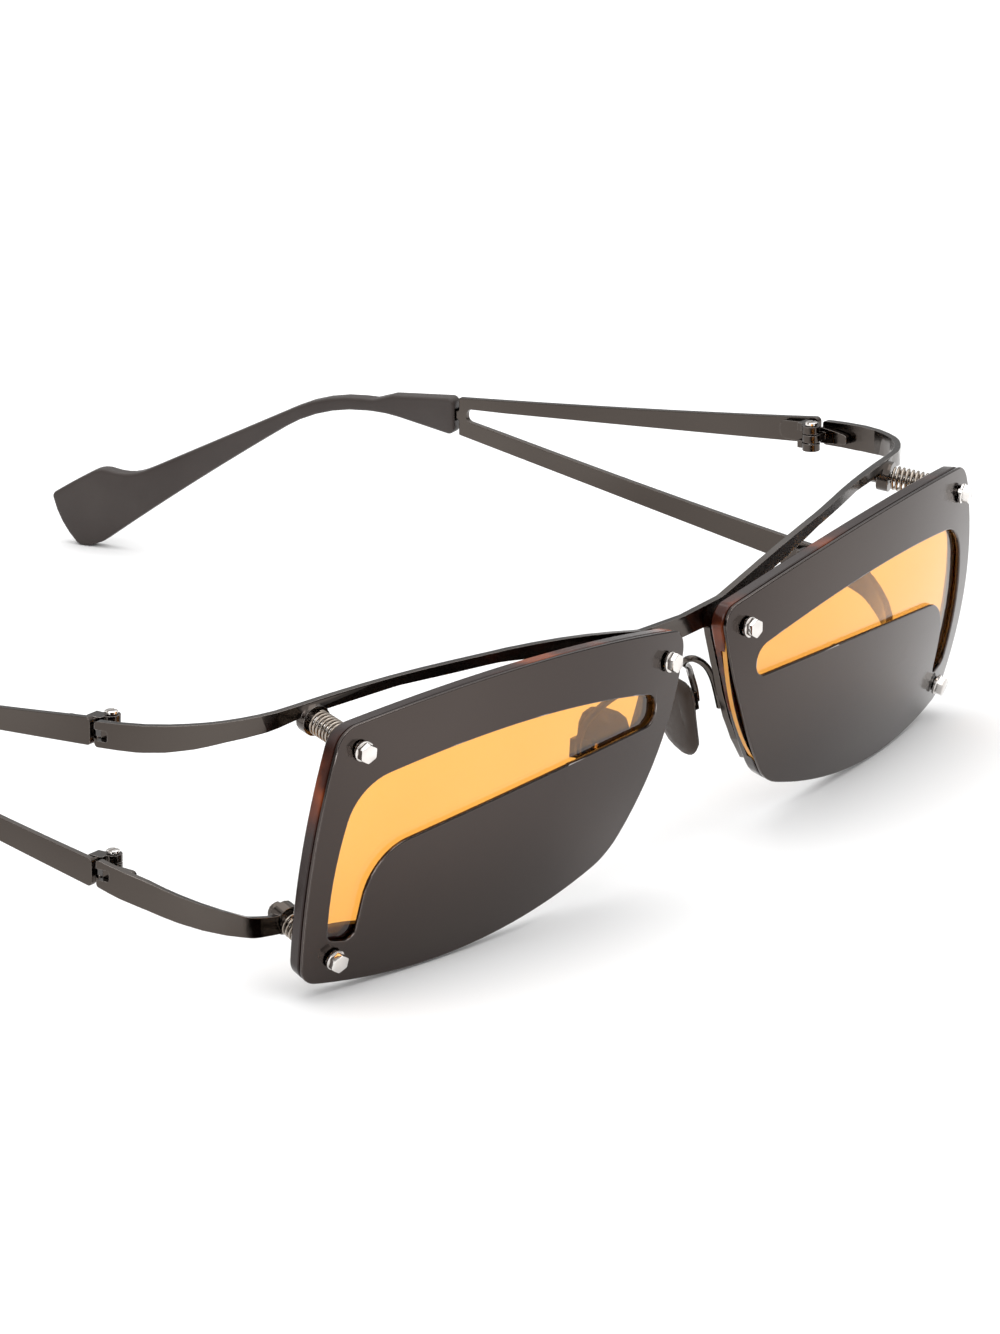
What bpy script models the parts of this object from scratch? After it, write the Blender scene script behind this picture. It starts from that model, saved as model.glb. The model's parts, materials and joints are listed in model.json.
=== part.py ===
"""Metal-framed wrap sunglasses with bolted, spring-backed lens stacks.

The front is a bent strip of metal (bridge, brow bar, upper end pieces and nose rims). Each side carries a stack of
three curved sheets: a metal plate with a slit window, a tinted lens and an acetate rim. Three bolts hold each stack;
the two outer ones pass through coil springs. The forked temples turn on two coaxial hinges a side.

Lengths in this file are millimetres, turned into metres where the meshes are made. X is across the face (+X is the
wearer's left), Y runs back along the temples, Z is up.
"""

import math

import bmesh
import bpy
from mathutils import Matrix, Vector

MM = 0.001

for item in list(bpy.data.objects):
    bpy.data.objects.remove(item, do_unlink=True)

# The sizes below are measured from a datum on the symmetry plane; this moves the datum so that the object's box is
# centred in X and Y and stands on Z = 0.
DATUM_Y = -71.25
DATUM_Z = 1.6

# Lens surface: the front face of the plate is part of a torus.
WRAP_RADIUS = 168.0
DROP_RADIUS = 92.5
APEX_X = 22.7
APEX_Y = -6.3
APEX_Z = 29.7

# Layers of the stack, front to back.
PLATE_THICK = 0.55
LENS_THICK = 0.75
ACETATE_THICK = 1.9
LAYER_GAP = 0.15
LENS_DEPTH = PLATE_THICK + LAYER_GAP
ACETATE_DEPTH = PLATE_THICK + LAYER_GAP
STACK_DEPTH = ACETATE_DEPTH + ACETATE_THICK
# The lens lies in a recess in the front of the acetate, which breaks out through its edge beside the nose.
RECESS_END = LENS_DEPTH + LENS_THICK + LAYER_GAP

# Metal strip of the front and of the temples.
STRIP_THICK = 0.9

# Bolts, nuts and springs.
SHANK_RADIUS = 0.6
LAYER_HOLE_RADIUS = 0.95
BOLT_HOLE_RADIUS = 0.85
FLANGE_RADIUS = 1.35
FLANGE_THICK = 0.35
HEAD_CORNER_RADIUS = 1.25
HEAD_HEIGHT = 0.95
HEAD_CLEARANCE = 0.28
NUT_CORNER_RADIUS = 1.3
NUT_HEIGHT = 1.0
LUG_RADIUS = 2.0
SPRING_RADIUS = 1.45
SPRING_WIRE_RADIUS = 0.2
SPRING_END_GAP = 0.2

# Hinges: both of a side share one vertical axis.
HINGE_X = 77.3
HINGE_Y = 29.5
KNUCKLE_RADIUS = 1.2
KNUCKLE_BORE = 0.62
PIN_RADIUS = 0.4
UPPER_HINGE_Z = 28.8
LOWER_HINGE_Z = 11.0
KNUCKLE_HEIGHT = 1.0
KNUCKLE_GAP = 0.2

# Nose pads.
PAD_CENTRE = (8.5, 4.6, 14.6)
PAD_YAW = math.radians(17.0)
PAD_FLARE = math.radians(9.0)
PAD_THICK = 1.7
PAD_AXIS_OFFSET = 2.35
ARM_RADIUS = 0.45


# ---------------------------------------------------------------- plane outlines

def edge_points(a, b, bulge, count=48):
    """Points along a shallow arc from a to b; a positive bulge swells to the right of the way from a to b."""
    dx = b[0] - a[0]
    dy = b[1] - a[1]
    length = math.hypot(dx, dy)
    right = (dy / length, -dx / length)
    points = []
    for i in range(count + 1):
        t = i / count
        rise = 4.0 * bulge * t * (1.0 - t)
        points.append((a[0] + t * dx + rise * right[0], a[1] + t * dy + rise * right[1]))
    return points


def cut_start(points, distance):
    """Drops the first stretch of a polyline, of the given length."""
    left = distance
    for i in range(len(points) - 1):
        step = math.dist(points[i], points[i + 1])
        if step > left:
            t = left / step
            x = points[i][0] + t * (points[i + 1][0] - points[i][0])
            y = points[i][1] + t * (points[i + 1][1] - points[i][1])
            return [(x, y)] + points[i + 1:]
        left -= step
    return points[-2:]


def resample(points, count):
    """Evenly spaced points along a polyline."""
    lengths = [0.0]
    for i in range(len(points) - 1):
        lengths.append(lengths[-1] + math.dist(points[i], points[i + 1]))
    result = []
    k = 0
    for i in range(count + 1):
        want = lengths[-1] * i / count
        while k < len(points) - 2 and lengths[k + 1] < want:
            k += 1
        t = (want - lengths[k]) / max(lengths[k + 1] - lengths[k], 1e-9)
        x = points[k][0] + t * (points[k + 1][0] - points[k][0])
        y = points[k][1] + t * (points[k + 1][1] - points[k][1])
        result.append((x, y))
    return result


def outline(corners, spacing=8.0, turn_step=30.0):
    """A closed outline from corners (u, v, fillet radius, bulge of the edge to the next corner), anticlockwise."""
    total = len(corners)
    edges = []
    for i in range(total):
        j = (i + 1) % total
        edges.append(edge_points(corners[i][:2], corners[j][:2], corners[i][3]))
    turns = []
    for i in range(total):
        before = edges[i - 1]
        after = edges[i]
        first = math.atan2(before[-1][1] - before[-2][1], before[-1][0] - before[-2][0])
        second = math.atan2(after[1][1] - after[0][1], after[1][0] - after[0][0])
        turns.append(math.remainder(second - first, math.tau))
    cuts = [corners[i][2] * math.tan(abs(turns[i]) / 2.0) for i in range(total)]
    trimmed = []
    for i in range(total):
        points = edges[i]
        if cuts[i] > 0.0:
            points = cut_start(points, cuts[i])
        if cuts[(i + 1) % total] > 0.0:
            points = cut_start(points[::-1], cuts[(i + 1) % total])[::-1]
        trimmed.append(points)
    loop = []
    for i in range(total):
        if cuts[i] > 0.0:
            before = trimmed[i - 1]
            after = trimmed[i]
            steps = max(2, math.ceil(math.degrees(abs(turns[i])) / turn_step))
            reach = 4.0 / 3.0 * math.tan(abs(turns[i]) / 4.0) * corners[i][2]
            loop += fillet(before, after, reach, steps)[:-1]
        points = trimmed[i]
        count = 1
        if abs(corners[i][3]) > 0.04:
            length = sum(math.dist(points[k], points[k + 1]) for k in range(len(points) - 1))
            count = max(2, math.ceil(length / spacing))
        loop += resample(points, count)[:-1]
    return loop


def fillet(before, after, reach, steps):
    """A cubic curve that leaves the end of one polyline and meets the start of the next, tangent to both."""
    a = Vector(before[-1])
    d = Vector(after[0])
    b = a + (a - Vector(before[-2])).normalized() * reach
    c = d - (Vector(after[1]) - d).normalized() * reach
    points = []
    for i in range(steps + 1):
        t = i / steps
        s = 1.0 - t
        p = s * s * s * a + 3.0 * s * s * t * b + 3.0 * s * t * t * c + t * t * t * d
        points.append((p.x, p.y))
    return points


def circle(u, v, radius, count=12, start=0.0):
    """A regular outline around a centre."""
    points = []
    for i in range(count):
        angle = start + math.tau * i / count
        points.append((u + radius * math.cos(angle), v + radius * math.sin(angle)))
    return points


def spline(points, per_span):
    """A smooth curve through points, with the given number of steps between neighbours."""
    size = len(points)
    curve = []
    for i in range(size - 1):
        p1 = Vector(points[i])
        p2 = Vector(points[i + 1])
        p0 = Vector(points[i - 1]) if i > 0 else 2.0 * p1 - p2
        p3 = Vector(points[i + 2]) if i < size - 2 else 2.0 * p2 - p1
        for k in range(per_span):
            t = k / per_span
            curve.append(0.5 * (2.0 * p1 + (p2 - p0) * t + (2.0 * p0 - 5.0 * p1 + 4.0 * p2 - p3) * t * t
                                + (3.0 * p1 - p0 - 3.0 * p2 + p3) * t * t * t))
    curve.append(Vector(points[-1]))
    return curve


# ---------------------------------------------------------------- curved sheets

def grid_fill(loops, cuts_u, cuts_v):
    """Fills the area between loops with triangles that follow a grid, so that it can be bent afterwards."""
    bm = bmesh.new()
    edges = []
    for loop in loops:
        verts = [bm.verts.new((u, v, 0.0)) for u, v in loop]
        for i, vert in enumerate(verts):
            edges.append(bm.edges.new((vert, verts[(i + 1) % len(verts)])))
    bmesh.ops.triangle_fill(bm, use_beauty=True, use_dissolve=False, edges=edges, normal=(0.0, 0.0, 1.0))
    for axis, cuts in ((0, cuts_u), (1, cuts_v)):
        normal = Vector((1.0, 0.0, 0.0)) if axis == 0 else Vector((0.0, 1.0, 0.0))
        for cut in cuts:
            geometry = bm.verts[:] + bm.edges[:] + bm.faces[:]
            bmesh.ops.bisect_plane(bm, geom=geometry, dist=0.02, plane_co=normal * cut, plane_no=normal)

    def on_grid(edge):
        for axis, cuts in ((0, cuts_u), (1, cuts_v)):
            a = edge.verts[0].co[axis]
            b = edge.verts[1].co[axis]
            if abs(a - b) < 0.021 and any(abs(a - cut) < 0.021 for cut in cuts):
                return True
        return False

    loose = [edge for edge in bm.edges if len(edge.link_faces) == 2 and not on_grid(edge)]
    bmesh.ops.dissolve_edges(bm, edges=loose, use_verts=False, use_face_split=False)
    spare = [vert for vert in bm.verts if len(vert.link_edges) == 2 and not vert.is_boundary]
    bmesh.ops.dissolve_verts(bm, verts=spare)
    bmesh.ops.triangulate(bm, faces=bm.faces[:], quad_method="BEAUTY", ngon_method="BEAUTY")
    for face in bm.faces:
        face.normal_update()
        if face.normal.z < 0.0:
            face.normal_flip()
    bm.verts.index_update()
    verts = [(vert.co.x, vert.co.y) for vert in bm.verts]
    faces = [tuple(vert.index for vert in face.verts) for face in bm.faces]
    bm.free()
    return verts, faces


def sheet(loops, cuts_u, cuts_v, layers, place):
    """A closed sheet: layers are (inset of the edge, depth) pairs from one face to the other."""
    flat, triangles = grid_fill(loops, cuts_u, cuts_v)
    directed = set()
    for a, b, c in triangles:
        directed.update(((a, b), (b, c), (c, a)))
    after = {a: b for a, b in directed if (b, a) not in directed}
    before = {b: a for a, b in after.items()}
    outward = {}
    for vert in after:
        normals = []
        for a, b in ((before[vert], vert), (vert, after[vert])):
            step = Vector(flat[b]) - Vector(flat[a])
            normals.append(Vector((step.y, -step.x)).normalized())
        middle = (normals[0] + normals[1]).normalized()
        outward[vert] = middle / max(middle.dot(normals[0]), 0.5)
    verts = []
    faces = []
    rows = []
    for number, (inset, depth) in enumerate(layers):
        whole = number in (0, len(layers) - 1)
        row = {}
        for i, (u, v) in enumerate(flat):
            if not whole and i not in after:
                continue
            if i in after:
                u -= inset * outward[i].x
                v -= inset * outward[i].y
            row[i] = len(verts)
            verts.append(place(u, v, depth))
        rows.append(row)
    for a, b, c in triangles:
        faces.append((rows[0][a], rows[0][b], rows[0][c]))
        faces.append((rows[-1][c], rows[-1][b], rows[-1][a]))
    for upper, lower in zip(rows, rows[1:]):
        for a, b in after.items():
            faces.append((upper[b], upper[a], lower[a]))
            faces.append((upper[b], lower[a], lower[b]))
    return outward_facing(verts, faces)


def outward_facing(verts, faces):
    """Turns every face outward, by the sign of the enclosed volume."""
    volume = 0.0
    for face in faces:
        a = Vector(verts[face[0]])
        for i in range(1, len(face) - 1):
            volume += a.dot(Vector(verts[face[i]]).cross(Vector(verts[face[i + 1]])))
    if volume < 0.0:
        faces = [tuple(reversed(face)) for face in faces]
    return verts, faces


# ---------------------------------------------------------------- turned, lofted and swept shapes

def loft(rings, closed=False):
    """Joins rings of equally many points; the ends are capped, or joined to each other if closed."""
    size = len(rings[0])
    verts = [tuple(point) for ring in rings for point in ring]
    faces = []
    pairs = [(i, i + 1) for i in range(len(rings) - 1)]
    if closed:
        pairs.append((len(rings) - 1, 0))
    for a, b in pairs:
        for i in range(size):
            j = (i + 1) % size
            faces.append((a * size + i, a * size + j, b * size + j))
            faces.append((a * size + i, b * size + j, b * size + i))
    if not closed:
        last = (len(rings) - 1) * size
        for i in range(1, size - 1):
            faces.append((0, i + 1, i))
            faces.append((last, last + i, last + i + 1))
    return outward_facing(verts, faces)


def frame_at(origin, along, hint=(0.0, 0.0, 1.0)):
    """A placement whose local Z runs along a direction, with local X as near to the hint as it can be."""
    z = Vector(along).normalized()
    x = Vector(hint) - z * z.dot(Vector(hint))
    x.normalize()
    y = z.cross(x)
    turn = Matrix((x, y, z)).transposed().to_4x4()
    return Matrix.Translation(Vector(origin)) @ turn


def ring(place, radius, height, count=12, sides=None):
    """A circle, or a hexagon with the same number of points, around a placement's Z axis."""
    points = []
    for i in range(count):
        angle = math.tau * i / count
        reach = radius
        if sides:
            sector = math.tau / sides
            reach = radius * math.cos(sector / 2.0) / math.cos((angle % sector) - sector / 2.0)
        points.append(place @ Vector((reach * math.cos(angle), reach * math.sin(angle), height)))
    return points


def tube(points, radius, sides, place=None):
    """A round rod swept along points, with flat ends."""
    path = [Vector(p) for p in points]
    if place:
        path = [place @ p for p in path]
    rings = []
    normal = None
    for i, point in enumerate(path):
        direction = (path[min(i + 1, len(path) - 1)] - path[max(i - 1, 0)]).normalized()
        if normal is None:
            normal = direction.orthogonal().normalized()
        normal = (normal - direction * normal.dot(direction)).normalized()
        side = direction.cross(normal)
        points_here = []
        for k in range(sides):
            angle = math.tau * k / sides
            points_here.append(point + radius * (math.cos(angle) * normal + math.sin(angle) * side))
        rings.append(points_here)
    return loft(rings)


def block(place, size, chamfer=0.0):
    """A box centred on a placement, with its four edges along local Z chamfered."""
    hx, hy, hz = size[0] / 2.0, size[1] / 2.0, size[2] / 2.0
    if chamfer:
        c = chamfer
        flat = [(hx, -hy + c), (hx, hy - c), (hx - c, hy), (-hx + c, hy), (-hx, hy - c), (-hx, -hy + c),
                (-hx + c, -hy), (hx - c, -hy)]
    else:
        flat = [(hx, -hy), (hx, hy), (-hx, hy), (-hx, -hy)]
    rings = []
    for z in (-hz, hz):
        rings.append([place @ Vector((x, y, z)) for x, y in flat])
    return loft(rings)


# ---------------------------------------------------------------- objects

def mirrored(shape):
    """The same shape on the other side of the symmetry plane."""
    verts, faces = shape
    return [(-v[0], v[1], v[2]) for v in verts], [tuple(reversed(face)) for face in faces]


def mesh_from(name, shape, origin=(0.0, 0.0, 0.0)):
    verts, faces = shape
    mesh = bpy.data.meshes.new(name)
    points = [(Vector(v) - Vector(origin)) * MM for v in verts]
    mesh.from_pydata([tuple(p) for p in points], [], faces)
    mesh.update()
    return mesh


def combine(base, tools, operation):
    """Union or difference of closed shapes with an exact Boolean; gives back a shape."""
    scene = bpy.context.scene.collection
    body = bpy.data.objects.new("body", mesh_from("body", scaled(base, 1.0 / MM)))
    scene.objects.link(body)
    helpers = [body]
    for tool in tools:
        helper = bpy.data.objects.new("tool", mesh_from("tool", scaled(tool, 1.0 / MM)))
        scene.objects.link(helper)
        helpers.append(helper)
        modifier = body.modifiers.new("join", "BOOLEAN")
        modifier.operation = operation
        modifier.solver = "EXACT"
        modifier.object = helper
    bpy.context.view_layer.update()
    evaluated = body.evaluated_get(bpy.context.evaluated_depsgraph_get())
    mesh = bpy.data.meshes.new_from_object(evaluated)
    bm = bmesh.new()
    bm.from_mesh(mesh)
    bmesh.ops.remove_doubles(bm, verts=bm.verts[:], dist=0.004)
    bmesh.ops.dissolve_degenerate(bm, edges=bm.edges[:], dist=0.004)
    bmesh.ops.triangulate(bm, faces=bm.faces[:])
    bm.verts.index_update()
    verts = [tuple(v.co) for v in bm.verts]
    faces = [tuple(v.index for v in face.verts) for face in bm.faces]
    bm.free()
    bpy.data.meshes.remove(mesh)
    for helper in helpers:
        data = helper.data
        bpy.data.objects.remove(helper, do_unlink=True)
        bpy.data.meshes.remove(data)
    return verts, faces


def scaled(shape, factor):
    verts, faces = shape
    return [tuple(c * factor for c in v) for v in verts], faces


def material(name, color, roughness, metallic, transmission=0.0):
    made = bpy.data.materials.new(name)
    made.use_nodes = True
    shader = made.node_tree.nodes["Principled BSDF"]
    shader.inputs["Base Color"].default_value = (*color, 1.0)
    shader.inputs["Roughness"].default_value = roughness
    shader.inputs["Metallic"].default_value = metallic
    shader.inputs["Transmission Weight"].default_value = transmission
    return made


def add(name, shape, look, origin=(0.0, 0.0, 0.0), smooth=30.0):
    """Makes one named piece; its origin sits at the given point."""
    mesh = mesh_from(name, shape, origin)
    mesh.shade_smooth()
    mesh.set_sharp_from_angle(angle=math.radians(smooth))
    mesh.materials.append(material(name + "_look", *look))
    made = bpy.data.objects.new(name, mesh)
    made.location = Vector((origin[0], origin[1] + DATUM_Y, origin[2] + DATUM_Z)) * MM
    bpy.context.scene.collection.objects.link(made)
    return made


def add_pair(name, shape, look, origin=(0.0, 0.0, 0.0), smooth=30.0):
    """Makes a piece on the wearer's left (+X) and its mirror image on the right."""
    add(name + "_left", shape, look, origin, smooth)
    add(name + "_right", mirrored(shape), look, (-origin[0], origin[1], origin[2]), smooth)


GUNMETAL = ((0.045, 0.038, 0.036), 0.28, 1.0)
PLATE_METAL = ((0.09, 0.075, 0.068), 0.34, 1.0)
AMBER = ((1.0, 0.52, 0.11), 0.06, 0.0, 0.85)
TORTOISE = ((0.06, 0.018, 0.012), 0.18, 0.0)
STEEL = ((0.72, 0.69, 0.66), 0.2, 1.0)
SPRING_STEEL = ((0.35, 0.31, 0.26), 0.3, 1.0)
TIP_PLASTIC = ((0.055, 0.048, 0.045), 0.5, 0.0)
PAD_PLASTIC = ((0.06, 0.05, 0.042), 0.55, 0.0)
BRASS = ((0.62, 0.47, 0.3), 0.3, 1.0)


# ---------------------------------------------------------------- lens stacks

def lens_surface(x, z):
    """Y of the plate's front face."""
    return APEX_Y + (abs(x) - APEX_X) ** 2 / (2.0 * WRAP_RADIUS) + (z - APEX_Z) ** 2 / (2.0 * DROP_RADIUS)


def surface_normal(x, z):
    """Direction into the stack, square to the plate's front face, on the wearer's left."""
    return Vector(((APEX_X - x) / WRAP_RADIUS, 1.0, (APEX_Z - z) / DROP_RADIUS)).normalized()


STACK_OUTLINE = (
    (4.2, 30.5, 2.85, 2.1),
    (18.0, 4.0, 11.5, 3.4),
    (71.6, 0.5, 3.6, 2.7),
    (69.8, 33.4, 4.1, 2.75),
)
LENS_OUTLINE = (
    (5.3, 29.8, 2.1, 3.35),
    (18.5, 4.8, 10.5, 3.4),
    (70.7, 1.4, 3.0, 2.7),
    (69.0, 32.6, 3.4, 2.75),
)
WINDOW_OUTLINE = (
    (11.8, 20.1, 2.0, -1.15),
    (64.6, 16.3, 7.2, 0.0),
    (65.1, 5.1, 1.3, 0.0),
    (69.2, 5.9, 1.5, 1.6),
    (67.1, 25.8, 8.5, 2.85),
    (11.2, 23.9, 2.7, 0.1),
)
RIM_OPENING = (
    (9.4, 23.9, 2.0, 1.5),
    (20.5, 8.4, 8.0, 3.2),
    (62.5, 6.2, 2.0, -0.2),
    (69.9, 7.0, 1.6, 1.0),
    (68.2, 26.4, 7.0, 2.4),
)

# Bolts: centre of the hole on the plate's front face, and the way the bolt runs.
UPPER_BOLT = (66.95, 30.4)
UPPER_BOLT_WAY = Vector((-0.32, 1.0, 0.15)).normalized()
LOWER_BOLT = (67.65, 3.3)
LOWER_BOLT_WAY = Vector((-0.25, 1.0, 0.32)).normalized()
INNER_BOLT = (8.99, 27.64)
INNER_BOLT_WAY = Vector((0.04, 1.0, 0.02)).normalized()
BOLTS = {
    "upper": (UPPER_BOLT, UPPER_BOLT_WAY),
    "lower": (LOWER_BOLT, LOWER_BOLT_WAY),
    "inner": (INNER_BOLT, INNER_BOLT_WAY),
}


def on_bolt(which, depth):
    """The point of a bolt's axis that lies a given depth behind the plate's front face, measured along Y."""
    (x, z), way = BOLTS[which]
    start = Vector((x, lens_surface(x, z), z))
    return start + way * (depth / way.y)


def hole_at(which, depth):
    """Where a bolt crosses the sheet that lies at a depth: a point of the flat pattern."""
    u, v = BOLTS[which][0]
    front = lens_surface(u, v)
    for _ in range(6):
        normal = surface_normal(u, v)
        point = on_bolt(which, lens_surface(u, v) + depth * normal.y - front)
        u = point.x - depth * normal.x
        v = point.z - depth * normal.z
    return u, v


def hole_loops(depth):
    return [circle(*hole_at(which, depth), LAYER_HOLE_RADIUS, 10, 0.1) for which in BOLTS]


def layer_place(x, z, depth):
    """Bends a flat layer to the lens surface."""
    normal = surface_normal(x, z)
    return (x + depth * normal.x, lens_surface(x, z) + depth * normal.y, z + depth * normal.z)


def stack_cuts(depth):
    """Grid lines of a stack layer; a line runs through each bolt hole."""
    upper = hole_at("upper", depth)
    lower = hole_at("lower", depth)
    inner = hole_at("inner", depth)
    cuts_u = [inner[0], 19.5, 29.2, 38.9, 48.6, 58.3, upper[0]]
    cuts_v = [lower[1], 8.6, 14.2, 19.8, inner[1], upper[1]]
    return cuts_u, cuts_v


def stack_layer(loop, start, thick, chamfer, inner):
    """A curved sheet with the three bolt holes, and an inner opening if it has one."""
    middle = start + thick / 2.0
    loops = [outline(loop)] + hole_loops(middle)
    if inner:
        loops.append(outline(inner))
    cuts_u, cuts_v = stack_cuts(middle)
    layers = [(0.0, start), (0.0, start + thick)]
    if chamfer:
        layers = [(chamfer, start), (0.0, start + chamfer), (0.0, start + thick)]
    return sheet(loops, cuts_u, cuts_v, layers, layer_place)


add_pair("front_plate", stack_layer(STACK_OUTLINE, 0.0, PLATE_THICK, 0.14, WINDOW_OUTLINE), PLATE_METAL)
add_pair("tinted_lens", stack_layer(LENS_OUTLINE, LENS_DEPTH, LENS_THICK, 0.0, None), AMBER)
acetate = stack_layer(STACK_OUTLINE, ACETATE_DEPTH, ACETATE_THICK, 0.0, RIM_OPENING)
recess_layers = [(-0.15, ACETATE_DEPTH - 1.0), (-0.15, RECESS_END)]
recess = sheet([outline(LENS_OUTLINE)], *stack_cuts(RECESS_END), recess_layers, layer_place)
acetate = combine(acetate, [recess], "DIFFERENCE")
add_pair("acetate_rim", acetate, TORTOISE)


# ---------------------------------------------------------------- front frame

def measured(points):
    """A smooth path through points, with the distance run at each of its steps."""
    path = spline(points, 12)
    lengths = [0.0]
    for k in range(len(path) - 1):
        lengths.append(lengths[-1] + (path[k + 1] - path[k]).length)
    return path, lengths


PLAN = measured((
    (0.0, -1.8), (17.0, -1.0), (35.0, 1.5), (50.4, 5.6), (63.9, 9.4), (70.0, 11.3), (75.4, 15.1), (79.0, 20.6),
    (80.2, 25.6), (80.5, 30.0),
))
LOWER_PLAN = measured((
    (60.0, 11.3), (65.5, 11.9), (70.5, 12.9), (75.4, 16.0), (79.0, 21.0), (80.2, 25.7), (80.5, 30.0),
))
RIM_DEPTH = STACK_DEPTH + 0.8


def plan_at(s, plan):
    """Point and outward direction of a strip at a distance s from the start of its plan."""
    path, lengths = plan
    side = -1.0 if s < 0.0 else 1.0
    want = min(abs(s), lengths[-1])
    i = 0
    while i < len(path) - 2 and lengths[i + 1] < want:
        i += 1
    t = (want - lengths[i]) / (lengths[i + 1] - lengths[i])
    point = path[i].lerp(path[i + 1], t)
    ahead = path[min(i + 2, len(path) - 1)] - path[max(i - 1, 0)]
    if want < 1.0:
        ahead = Vector((1.0, 0.0))
    way = ahead.normalized()
    return (side * point.x, point.y), (side * way.y, -way.x)


def frame_place(s, z, depth):
    """Bends the flat strip pattern around the face; the nose rims run down close behind the acetate."""
    (x, y), (nx, ny) = plan_at(s, PLAN)
    if abs(s) < 30.0:
        share = min(max((26.5 - z) / 5.0, 0.0), 1.0)
        y += share * (lens_surface(x, z) + RIM_DEPTH - y)
    return (x + nx * depth, y + ny * depth, z)


def end_place(s, z, depth):
    (x, y), (nx, ny) = plan_at(s, PLAN)
    return (x + nx * depth, y + ny * depth, z)


def lower_place(s, z, depth):
    (x, y), (nx, ny) = plan_at(s, LOWER_PLAN)
    return (x + nx * depth, y + ny * depth, z)


def plan_s(point, plan):
    """Distance along a plan to its step nearest to a point."""
    path, lengths = plan
    best = min(range(len(path)), key=lambda i: (path[i] - Vector((point.x, point.y))).length)
    return lengths[best]


# Distance of each lug's middle from the plate's front face, along its bolt, and how far a turned lug reaches
# before and behind its middle.
UPPER_LUG_AT = 9.7
LOWER_LUG_AT = 9.2
INNER_LUG_AT = 4.5
LUG_FRONT = 0.4
LUG_BACK = 1.15
UPPER_LUG = on_bolt("upper", 0.0) + UPPER_BOLT_WAY * UPPER_LUG_AT
LOWER_LUG = on_bolt("lower", 0.0) + LOWER_BOLT_WAY * LOWER_LUG_AT
S_END = PLAN[1][-1] - 0.6
S_UPPER_LUG = plan_s(UPPER_LUG, PLAN)
S_LOWER_LUG = plan_s(LOWER_LUG, LOWER_PLAN)
S_LOWER_END = LOWER_PLAN[1][-1] - 0.6
NOTCH = 1.9

# Half of the strip pattern, from the middle of the bridge out to the hinge end and back under the bar.
# Each row is (distance from the middle, height, corner radius, bulge to the next row).
BAR_HALF = (
    (0.0, 28.0, 0.0, 0.0),
    (5.8, 28.0, 0.9, 2.0),
    (17.0, 6.9, 0.4, 0.0),
    (17.8, 7.8, 0.4, -1.2),
    (8.9, 23.0, 1.2, 0.0),
    (11.3, 26.6, 1.2, 0.0),
    (13.0, 29.9, 2.0, 0.0),
    (36.0, 33.2, 30.0, 0.0),
    (52.0, 33.4, 20.0, 0.0),
    (S_UPPER_LUG - 1.0, 32.6, 0.0, 0.0),
    (S_UPPER_LUG + 2.0, 32.3, 0.0, 0.15),
    (77.0, 30.8, 6.0, 0.25),
    (88.0, 29.15, 8.0, 0.0),
    (S_END, 28.95, 0.5, 0.0),
    (S_END, 29.8, 0.15, 0.0),
    (S_END - NOTCH, 29.8, 0.3, 0.0),
    (S_END - NOTCH, 31.2, 0.3, 0.0),
    (S_END, 31.2, 0.15, 0.0),
    (S_END, 32.2, 0.4, 0.0),
    (78.5, 33.2, 8.0, 0.0),
    (62.0, 34.25, 30.0, 0.35),
    (34.0, 34.45, 25.0, 0.5),
    (9.0, 30.95, 6.0, 0.0),
    (0.0, 30.7, 0.0, 0.0),
)


def bar_outline():
    """The whole strip pattern: the half pattern and its mirror image."""
    right = outline(BAR_HALF, 5.0, 30.0)
    left = [(-u, v) for u, v in reversed(right) if u > 0.001]
    return right + left


def turned_lug(which, distance):
    """The round lug around a bolt, as a disc on the bolt's axis."""
    place = frame_at(on_bolt(which, 0.0) + BOLTS[which][1] * distance, BOLTS[which][1])
    return loft([ring(place, LUG_RADIUS, -LUG_FRONT, 16), ring(place, LUG_RADIUS, LUG_BACK, 16)])


def bolt_bore(which, start, end):
    place = frame_at(on_bolt(which, 0.0), BOLTS[which][1])
    return loft([ring(place, BOLT_HOLE_RADIUS, start, 10), ring(place, BOLT_HOLE_RADIUS, end, 10)])


bend_cuts = [68.0, 70.5, 72.7, 74.9, 77.1, 79.3, 81.5, 84.0, 87.0, 90.5]
bar_cuts = [8.0, 18.0, 27.0, 36.0, 44.0, 52.0, 60.0] + bend_cuts
bar_cuts = [-cut for cut in reversed(bar_cuts)] + bar_cuts
strip_layers = [(0.0, STRIP_THICK / 2.0), (0.0, -STRIP_THICK / 2.0)]
rim_cuts = [9.5, 12.5, 15.5, 18.5, 21.5, 24.0, 26.5, APEX_Z]
bar = sheet([bar_outline()], bar_cuts, rim_cuts, strip_layers, frame_place)
left_lug = turned_lug("upper", UPPER_LUG_AT)
bar = combine(bar, [left_lug, mirrored(left_lug)], "UNION")
bores = [bolt_bore("upper", 8.0, 15.0), bolt_bore("inner", 2.6, 8.0)]
bar = combine(bar, bores + [mirrored(bore) for bore in bores], "DIFFERENCE")
add("brow_frame", bar, GUNMETAL)

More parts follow.
